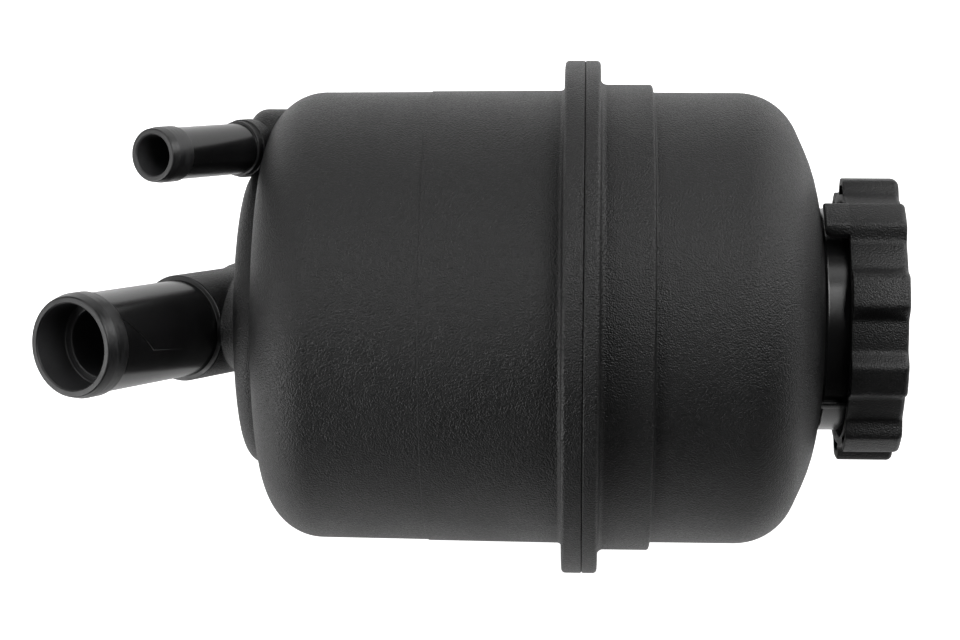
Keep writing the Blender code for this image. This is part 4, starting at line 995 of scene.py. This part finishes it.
@once
def speck_group():
    """Sparse light specks of dust, as a mask."""
    tree = bpy.data.node_groups.new("Dust specks", "ShaderNodeTree")
    tree.interface.new_socket("Vector", in_out="INPUT", socket_type="NodeSocketVector")
    density = tree.interface.new_socket("Density", in_out="INPUT", socket_type="NodeSocketFloat")
    density.default_value = SPECK_DENSITY
    radius = tree.interface.new_socket("Radius", in_out="INPUT", socket_type="NodeSocketFloat")
    radius.default_value = SPECK_RADIUS
    tree.interface.new_socket("Mask", in_out="OUTPUT", socket_type="NodeSocketFloat")
    nodes = Nodes(tree)
    ends = nodes.add("NodeGroupInput")
    cells = nodes.add("ShaderNodeTexVoronoi", {"Vector": ends.outputs["Vector"],
                                               "Scale": ends.outputs["Density"]})
    chosen = nodes.add("ShaderNodeMath", {0: cells.outputs["Color"], 1: DUSTY_CELLS_ABOVE},
                       operation="GREATER_THAN")
    small = nodes.add("ShaderNodeMath", {0: cells.outputs["Distance"], 1: ends.outputs["Radius"]},
                      operation="LESS_THAN")
    both = nodes.add("ShaderNodeMath", {0: chosen.outputs[0], 1: small.outputs[0]}, operation="MULTIPLY")
    out = nodes.add("NodeGroupOutput")
    tree.links.new(both.outputs[0], out.inputs["Mask"])
    return tree


def placed_group(nodes, tree, inputs):
    """Places a node group and sets or links its inputs by name."""
    group = nodes.add("ShaderNodeGroup", node_tree=tree)
    for key, value in inputs.items():
        if isinstance(value, bpy.types.NodeSocket):
            nodes.tree.links.new(value, group.inputs[key])
        else:
            group.inputs[key].default_value = value
    return group


def ramp(nodes, value, low, high, first, last):
    """Maps a value between two limits."""
    return nodes.add("ShaderNodeMapRange", {"Value": value, "From Min": low, "From Max": high,
                                            "To Min": first, "To Max": last}).outputs["Result"]


def colour_between(nodes, factor, first, last):
    """Mixes two colours by a factor."""
    mix = nodes.add("ShaderNodeMix", {"Factor": factor}, data_type="RGBA")
    mix.inputs["A"].default_value = (*first, 1)
    mix.inputs["B"].default_value = (*last, 1)
    return mix.outputs["Result"]


def shaded(colour, share):
    """A colour made darker or lighter by a factor."""
    return tuple(channel * share for channel in colour)


def moulded(name, colour, roughness, grain_share, specks, rough_spread=0.06, density_share=1.0, marks=None,
            tone_spread=0.45):
    """A moulded plastic: mottled colour, grain, uneven gloss and a few dust specks.

    The grain's share is that of the bowls' depth, and specks say how strong the dust shows. Marks give
    the tilt of a spigot whose surface has faint marks that run round it."""
    finish = bpy.context.scene.reservoir_finish
    material, nodes, shader, place = new_material(name)
    density = density_share / finish.grain_size
    grain = placed_group(nodes, grain_group(), {"Vector": place, "Density": density})
    dust = placed_group(nodes, speck_group(), {"Vector": place})
    cloud = grain.outputs["Cloud"]
    if marks is not None:
        around = nodes.add("ShaderNodeMapping", {"Vector": place, "Rotation": (math.pi / 2 + marks, 0, 0),
                                                 "Scale": MARK_STRETCH}, vector_type="TEXTURE")
        cloud = nodes.add("ShaderNodeTexNoise", {"Vector": around.outputs[0],
                                                 "Scale": MARK_DENSITY}).outputs["Fac"]
    pits_in_tone = 0.7 if grain_share > GRAIN_VISIBLE else 0.2
    tone = nodes.add("ShaderNodeMix", {"Factor": pits_in_tone, "A": cloud,
                                       "B": grain.outputs["Height"]}).outputs["Result"]
    base = colour_between(nodes, ramp(nodes, tone, *TONE_RANGE, 0, 1), shaded(colour, 1 - tone_spread),
                          shaded(colour, 1 + tone_spread))
    dusty = nodes.add("ShaderNodeMix", {"Factor": ramp(nodes, dust.outputs["Mask"], 0, 1, 0, specks)},
                      data_type="RGBA")
    nodes.tree.links.new(base, dusty.inputs["A"])
    dusty.inputs["B"].default_value = DUST_COLOUR
    nodes.tree.links.new(dusty.outputs["Result"], shader.inputs["Base Color"])
    gloss = ramp(nodes, tone, *TONE_RANGE, roughness - rough_spread, roughness + rough_spread)
    nodes.tree.links.new(gloss, shader.inputs["Roughness"])
    bump = nodes.add("ShaderNodeBump", {"Height": grain.outputs["Height"], "Strength": 1.0,
                                        "Distance": finish.grain_depth * grain_share})
    nodes.tree.links.new(bump.outputs["Normal"], shader.inputs["Normal"])
    return material


@once
def grained_plastic():
    return moulded("Grained plastic", bpy.context.scene.reservoir_finish.shell_colour,
                   roughness=0.47, grain_share=1.0, specks=0.25, rough_spread=0.1)


@once
def smooth_plastic():
    return moulded("Smooth plastic", bpy.context.scene.reservoir_finish.spigot_colour,
                   roughness=0.24, grain_share=0.015, specks=0.12, rough_spread=0.03)


@once
def barb_plastic():
    """Smooth barbs with faint marks that run round them."""
    scene = bpy.context.scene
    return moulded("Barb plastic", shaded(scene.reservoir_finish.shell_colour, 2.5),
                   roughness=0.38, grain_share=0.06, specks=0.1, rough_spread=0.1,
                   marks=scene.reservoir_spigots.tilt)


# Six times the spigots' colour: painted light inside the bores, which the lamps hardly reach
@once
def bore_painted_light():
    return moulded("Bore painted light", shaded(bpy.context.scene.reservoir_finish.spigot_colour, 6.0),
                   roughness=0.42, grain_share=0.03, specks=0.0)


@once
def cap_plastic():
    return moulded("Cap plastic", bpy.context.scene.reservoir_finish.cap_colour,
                   roughness=0.47, grain_share=0.7, specks=0.2, rough_spread=0.08)


@once
def inner_plastic():
    return moulded("Inner plastic", (0.035, 0.035, 0.036), roughness=0.42, grain_share=0.03, specks=0.0)


@once
def pale_plastic():
    return moulded("Pale plastic", (0.55, 0.54, 0.50), roughness=0.42, grain_share=0.02, specks=0.0,
                   tone_spread=0.08)


@once
def rubber():
    return moulded("Moulded rubber", (0.015, 0.015, 0.015), roughness=0.72, grain_share=0.15, specks=0.1)


@once
def filter_paper():
    return moulded("Filter paper", (0.62, 0.45, 0.20), roughness=0.88, grain_share=0.25, specks=0.0,
                   rough_spread=0.04, density_share=0.6, tone_spread=0.1)


def metal(name, colour, roughness):
    """Drawn or plated steel: fine grey mottling, uneven gloss and faint drawing marks."""
    material, nodes, shader, place = new_material(name)
    grain = placed_group(nodes, grain_group(), {"Vector": place, "Density": METAL_DENSITY})
    base = colour_between(nodes, ramp(nodes, grain.outputs["Cloud"], 0.3, 0.7, 0, 1), shaded(colour, 0.85),
                          colour)
    nodes.tree.links.new(base, shader.inputs["Base Color"])
    gloss = ramp(nodes, grain.outputs["Height"], 0.2, 0.8, roughness - 0.08, roughness + 0.08)
    nodes.tree.links.new(gloss, shader.inputs["Roughness"])
    bump = nodes.add("ShaderNodeBump", {"Height": grain.outputs["Height"], "Distance": METAL_DEPTH})
    nodes.tree.links.new(bump.outputs["Normal"], shader.inputs["Normal"])
    shader.inputs["Metallic"].default_value = 1.0
    return material


@once
def spring_steel():
    return metal("Spring steel", (0.45, 0.45, 0.46), 0.32)


@once
def zinc_plate():
    return metal("Zinc plate", (0.55, 0.55, 0.54), 0.4)


INNER_FINISHES = {
    "cap_seal": rubber,
    "vent_plug": inner_plastic,
    "vent_disc": rubber,
    "dipstick": inner_plastic,
    "baffle_plate": inner_plastic,
    "hold_down_spring": spring_steel,
    "spring_seat": zinc_plate,
    "filter_upper_cap": pale_plastic,
    "filter_lower_cap": pale_plastic,
    "filter_seal": rubber,
    "filter_core": pale_plastic,
    "filter_paper": filter_paper,
    "bypass_disc": pale_plastic,
    "bypass_gasket": rubber,
    "bypass_cage": pale_plastic,
}


# Name, replaced node, body, joint, wire radius, turns, travel and the end that stays: 0 lower, 1 upper
VALVE_SPRINGS = (
    ("vent_coil", "vent_spring", "cap", "vent_lift", 0.3 * MM, 2.5, 1.0 * MM, 1),
    ("bypass_coil", "bypass_spring", "reservoir", "bypass_lift", 0.4 * MM, 3.5, 3.0 * MM, 0),
)


def valve_spring(name, low, high, wire, turns):
    """Compression spring with a closed half turn at each end."""
    dead = 0.5
    total = turns + 2 * dead
    steps = round(48 * total)
    corners = 12
    radius = high.x - wire
    sections = []
    for index in range(steps + 1):
        turn = total * index / steps
        share = min(max((turn - dead) / turns, 0), 1)
        height = low.z + wire + (high.z - low.z - 2 * wire) * share
        section = []
        for corner in range(corners):
            around = math.tau * corner / corners
            reach = radius + wire * math.cos(around)
            section.append(Vector((reach * math.cos(math.tau * turn), reach * math.sin(math.tau * turn),
                                   height + wire * math.sin(around))))
        sections.append(section)
    return swept(name, sections)


class RESERVOIR_OT_valve_springs(bpy.types.Operator):
    """Springs of the vent and the bypass valve."""

    bl_idname = "reservoir.valve_springs"
    bl_label = "Valve springs"

    def execute(self, context):
        for name, node, body, joint, wire, turns, travel, fixed_end in VALVE_SPRINGS:
            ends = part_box(node)
            spring = valve_spring(name, *ends, wire, turns)
            spring.data.materials.append(spring_steel())
            smooth(spring)
            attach(spring, body)
            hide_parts(node)
            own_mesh(spring)
        return {"FINISHED"}


class RESERVOIR_OT_inner_pieces(bpy.types.Operator):
    """Finishes of the dipstick, the vent, the baffle plate and the filter cartridge."""

    bl_idname = "reservoir.inner_pieces"
    bl_label = "Inner pieces"

    def execute(self, context):
        for node, finish in INNER_FINISHES.items():
            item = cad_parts[node]
            item.data.materials.clear()
            item.data.materials.append(finish())
            smooth(item)
        return {"FINISHED"}


# Camera, floor and light

CAMERA_DISTANCE = 480.17 * MM
FOCAL_PIXELS = 2446.3
CAMERA_YAW = math.radians(2.47)
CAMERA_ROLL = math.radians(0.50)
CAN_TURN = math.radians(7.25)
VIEW_RIGHT = 16.42 * MM
VIEW_DOWN = -0.65 * MM
FLOOR_Y = FLANGE_RADIUS + 0.4 * MM
FLOOR_HALF_SIZE = 0.9
FLOOR_COLOUR = (0.8, 0.8, 0.8, 1)
FLOOR_MIRRORED = 0.38
WHITE = (1, 1, 1, 1)
WORLD_STRENGTH = 0.02
LAMP_DISTANCE = 0.6
LAMP_SIZE = 0.3
LAMP_TARGET = -16 * MM
# Name, share to the picture's right, angle above the line of sight, and power in watts
LAMPS = (
    ("Left low softbox", -0.85, math.radians(-60), 1.6),
    ("Left softbox", -0.85, 0.0, 0.9),
    ("Left front softbox", -0.45, 0.0, 0.2),
    ("Left top softbox", -0.45, math.radians(45), 0.85),
    ("Right front softbox", 0.45, math.radians(22), 1.5),
    ("Right top softbox", 0.45, math.radians(45), 0.7),
    ("Right softbox", 0.85, math.radians(78), 1.1),
)


def camera_axes():
    """The camera's right, down and back directions in the row frame."""
    right = Vector((0, 0, 1))
    down = Vector((math.cos(CAN_TURN), -math.sin(CAN_TURN), 0))
    back = Vector((-math.sin(CAN_TURN), -math.cos(CAN_TURN), 0))
    right, back = (right * math.cos(CAMERA_YAW) - back * math.sin(CAMERA_YAW),
                   back * math.cos(CAMERA_YAW) + right * math.sin(CAMERA_YAW))
    right, down = (right * math.cos(CAMERA_ROLL) - down * math.sin(CAMERA_ROLL),
                   down * math.cos(CAMERA_ROLL) + right * math.sin(CAMERA_ROLL))
    return right, down, back


def pointing(location, target, up=Vector((-1, 0, 0))):
    """Places a lamp so that it shines at a target."""
    back = (location - target).normalized()
    right = up.cross(back).normalized()
    rotation = Matrix((right, back.cross(right), back)).transposed()
    return Matrix.Translation(location) @ rotation.to_4x4()


def add_camera():
    """The camera that the photograph was fitted with."""
    right, down, back = camera_axes()
    data = bpy.data.cameras.new("Camera")
    data.sensor_width = SENSOR_WIDTH
    data.lens = FOCAL_PIXELS / IMAGE_WIDTH * SENSOR_WIDTH
    camera = add_object("Camera", data)
    position = back * CAMERA_DISTANCE - right * VIEW_RIGHT - down * VIEW_DOWN
    rotation = Matrix((right, -down, back)).transposed()
    camera.matrix_world = Matrix.Translation(position) @ rotation.to_4x4()
    bpy.context.scene.camera = camera


def softbox(name, location, target, size, power):
    """A square lamp that the camera doesn't see."""
    data = bpy.data.lights.new(name, "AREA")
    data.shape = "RECTANGLE"
    data.size = data.size_y = size
    data.energy = power
    lamp = add_object(name, data)
    lamp.matrix_world = pointing(location, target)
    lamp.visible_camera = False


def floor_material():
    """White floor that the camera sees as white, with a faint shadow, and that isn't there from behind."""
    material = bpy.data.materials.new("Floor")
    material.use_nodes = True
    tree = material.node_tree
    tree.nodes.clear()
    nodes = Nodes(tree)
    rays = nodes.add("ShaderNodeLightPath")
    behind = nodes.add("ShaderNodeNewGeometry")
    seen = nodes.add("ShaderNodeMath", {0: rays.outputs["Is Glossy Ray"], 1: FLOOR_MIRRORED,
                                        2: rays.outputs["Is Camera Ray"]}, operation="MULTIPLY_ADD")
    matt = nodes.add("ShaderNodeBsdfDiffuse", {"Color": FLOOR_COLOUR})
    glow = nodes.add("ShaderNodeEmission", {"Color": WHITE, "Strength": seen.outputs[0]})
    lit = nodes.add("ShaderNodeAddShader", {0: matt.outputs[0], 1: glow.outputs[0]})
    clear = nodes.add("ShaderNodeBsdfTransparent")
    sided = nodes.add("ShaderNodeMixShader", {0: behind.outputs["Backfacing"], 1: lit.outputs[0],
                                              2: clear.outputs[0]})
    out = nodes.add("ShaderNodeOutputMaterial")
    tree.links.new(sided.outputs[0], out.inputs["Surface"])
    return material


def add_floor():
    """The sheet that the part lies on, behind it in the photograph's view."""
    shape = bmesh.new()
    bmesh.ops.create_grid(shape, x_segments=1, y_segments=1, size=FLOOR_HALF_SIZE)
    mesh = bpy.data.meshes.new("Floor")
    shape.to_mesh(mesh)
    shape.free()
    floor = add_object("Floor", mesh)
    back = camera_axes()[2]
    floor.matrix_world = pointing(-back * FLOOR_Y, -back * (FLOOR_Y + 1))
    floor.data.materials.append(floor_material())


def add_world():
    """White behind the part for the camera, and faint grey light for everything else."""
    world = bpy.data.worlds.new("Studio")
    bpy.context.scene.world = world
    world.use_nodes = True
    tree = world.node_tree
    tree.nodes.clear()
    nodes = Nodes(tree)
    rays = nodes.add("ShaderNodeLightPath")
    strength = ramp(nodes, rays.outputs["Is Camera Ray"], 0, 1, WORLD_STRENGTH, 1)
    light = nodes.add("ShaderNodeBackground", {"Color": WHITE, "Strength": strength})
    out = nodes.add("ShaderNodeOutputWorld")
    tree.links.new(light.outputs[0], out.inputs["Surface"])


class RESERVOIR_OT_stage(bpy.types.Operator):
    """Camera, floor and soft studio light."""

    bl_idname = "reservoir.stage"
    bl_label = "Stage"

    def execute(self, context):
        context.scene.view_settings.view_transform = "Standard"
        add_camera()
        add_floor()
        add_world()
        right, down, back = camera_axes()
        target = right * LAMP_TARGET
        for name, side, height, power in LAMPS:
            rest = math.sqrt(1 - side * side)
            towards = right * side - down * math.sin(height) * rest + back * math.cos(height) * rest
            softbox(name, target + towards * LAMP_DISTANCE, target, LAMP_SIZE, power)
        return {"FINISHED"}


class RESERVOIR_PT_panel(bpy.types.Panel):
    """Lists the reservoir's pieces and settings."""

    bl_idname = "RESERVOIR_PT_panel"
    bl_label = "Power steering reservoir"
    bl_space_type = "VIEW_3D"
    bl_region_type = "UI"
    bl_category = "Reservoir"

    def draw(self, context):
        scene = context.scene
        for settings in (scene.reservoir_can, scene.reservoir_spigots, scene.reservoir_cap,
                         scene.reservoir_finish):
            column = self.layout.column(align=True)
            for name in settings.__annotations__:
                column.prop(settings, name)
        for operator in OPERATORS:
            self.layout.operator(operator.bl_idname)


SETTINGS = (CanSettings, SpigotSettings, CapSettings, FinishSettings)
OPERATORS = (RESERVOIR_OT_stage, RESERVOIR_OT_lower_bowl, RESERVOIR_OT_upper_bowl, RESERVOIR_OT_screw_cap,
             RESERVOIR_OT_valve_springs, RESERVOIR_OT_inner_pieces)


def register():
    for kind in (*SETTINGS, *OPERATORS, RESERVOIR_PT_panel):
        bpy.utils.register_class(kind)
    bpy.types.Scene.reservoir_can = PointerProperty(type=CanSettings)
    bpy.types.Scene.reservoir_spigots = PointerProperty(type=SpigotSettings)
    bpy.types.Scene.reservoir_cap = PointerProperty(type=CapSettings)
    bpy.types.Scene.reservoir_finish = PointerProperty(type=FinishSettings)


def unregister():
    for name in ("reservoir_can", "reservoir_spigots", "reservoir_cap", "reservoir_finish"):
        delattr(bpy.types.Scene, name)
    for kind in reversed((*SETTINGS, *OPERATORS, RESERVOIR_PT_panel)):
        bpy.utils.unregister_class(kind)


def main():
    register()
    bpy.ops.reservoir.stage()
    bpy.ops.reservoir.lower_bowl()
    bpy.ops.reservoir.upper_bowl()
    bpy.ops.reservoir.screw_cap()
    bpy.ops.reservoir.valve_springs()
    bpy.ops.reservoir.inner_pieces()


if __name__ == "__main__":
    main()
